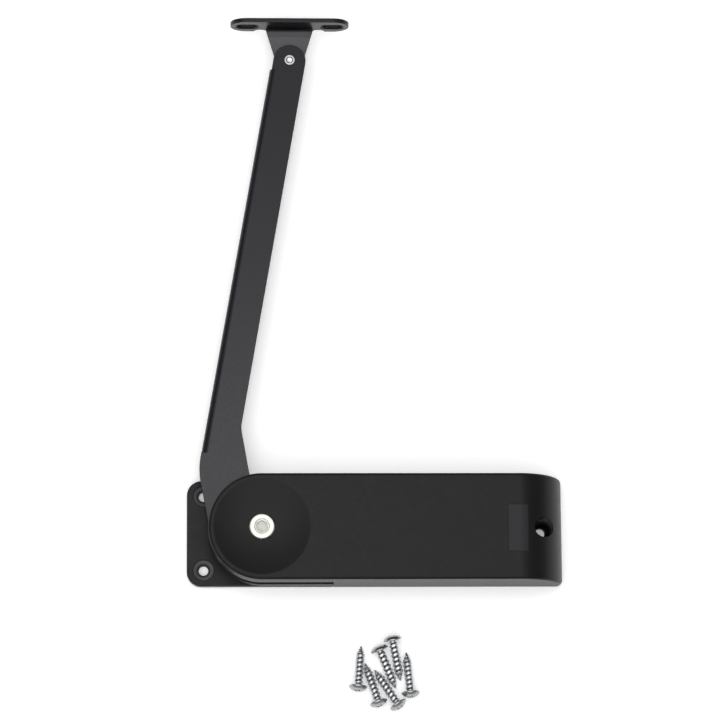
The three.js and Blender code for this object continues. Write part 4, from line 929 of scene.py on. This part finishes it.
def sky_glow(tree, toward, direction, narrow, wide, strength):
    """Light round a direction that fades from the angle narrow to the angle wide, in degrees."""
    inputs = {0: toward, 1: Vector(direction).normalized()}
    facing = add_node(tree, "VectorMath", inputs, operation="DOT_PRODUCT").outputs["Value"]
    inputs = {"Value": facing, "From Min": math.cos(math.radians(wide)),
              "From Max": math.cos(math.radians(narrow)), "To Min": 0, "To Max": strength}
    return add_node(tree, "MapRange", inputs, interpolation_type="SMOOTHSTEP").outputs["Result"]


def make_sky(even, glows):
    """A light tent of even strength with glows in it, which the camera sees as plain white."""
    world = bpy.data.worlds.new("studio")
    world.use_nodes = True
    tree = world.node_tree
    toward = add_node(tree, "TexCoord", {}).outputs["Generated"]
    light = even
    for glow in glows:
        light = math_node(tree, "ADD", sky_glow(tree, toward, *glow), light)
    seen = add_node(tree, "LightPath", {}).outputs["Is Camera Ray"]
    background = tree.nodes["Background"]
    background.inputs["Color"].default_value = (1, 1, 1, 1)
    tree.links.new(math_node(tree, "MAXIMUM", light, seen), background.inputs["Strength"])
    return world


def softbox(name, place, aim, size, power):
    """A square lamp, in metres and watts, that points at aim."""
    data = bpy.data.lights.new(name, "AREA")
    data.size = size
    data.energy = power
    obj = bpy.data.objects.new(name, data)
    bpy.context.scene.collection.objects.link(obj)
    obj.location = place
    obj.rotation_euler = (Vector(aim) - Vector(place)).to_track_quat("-Z", "Y").to_euler()


def make_camera(place, turn, lens):
    """A camera at a place in metres, turned by degrees, with a lens in millimetres."""
    data = bpy.data.cameras.new("camera")
    data.sensor_width = 36
    data.lens = lens
    data.clip_start = 0.05
    data.clip_end = 50
    camera = bpy.data.objects.new("camera", data)
    bpy.context.scene.collection.objects.link(camera)
    camera.location = place
    camera.rotation_euler = [math.radians(a) for a in turn]
    return camera


# glows in the sky: direction, narrow and wide angle, strength
OVERHEAD = ((-0.08, -0.22, 1), 5, 46, 2.0)
UPPER_LEFT = ((-0.35, 0.72, 0.60), 10, 28, 0.7)
LEFT = ((-0.60, -0.10, 0.79), 4, 20, 0.3)

scene = bpy.context.scene
make_floor(half=4.0, gap=0.0002)
scene.world = make_sky(0.32, [OVERHEAD, UPPER_LEFT, LEFT])
softbox("overhead", (0.02, 0.25, 1.75), aim=(0.02, 0.05, 0), size=0.30, power=2.0)
softbox("right", (0.48, 0.28, 1.68), aim=(0.05, 0.05, 0), size=0.35, power=0.4)
scene.camera = make_camera((-0.02605, -0.26962, 1.86601), turn=(11.10474, -2.44304, -0.43727), lens=170.3876)
scene.view_settings.view_transform = "Standard"

bpy.context.view_layer.update()
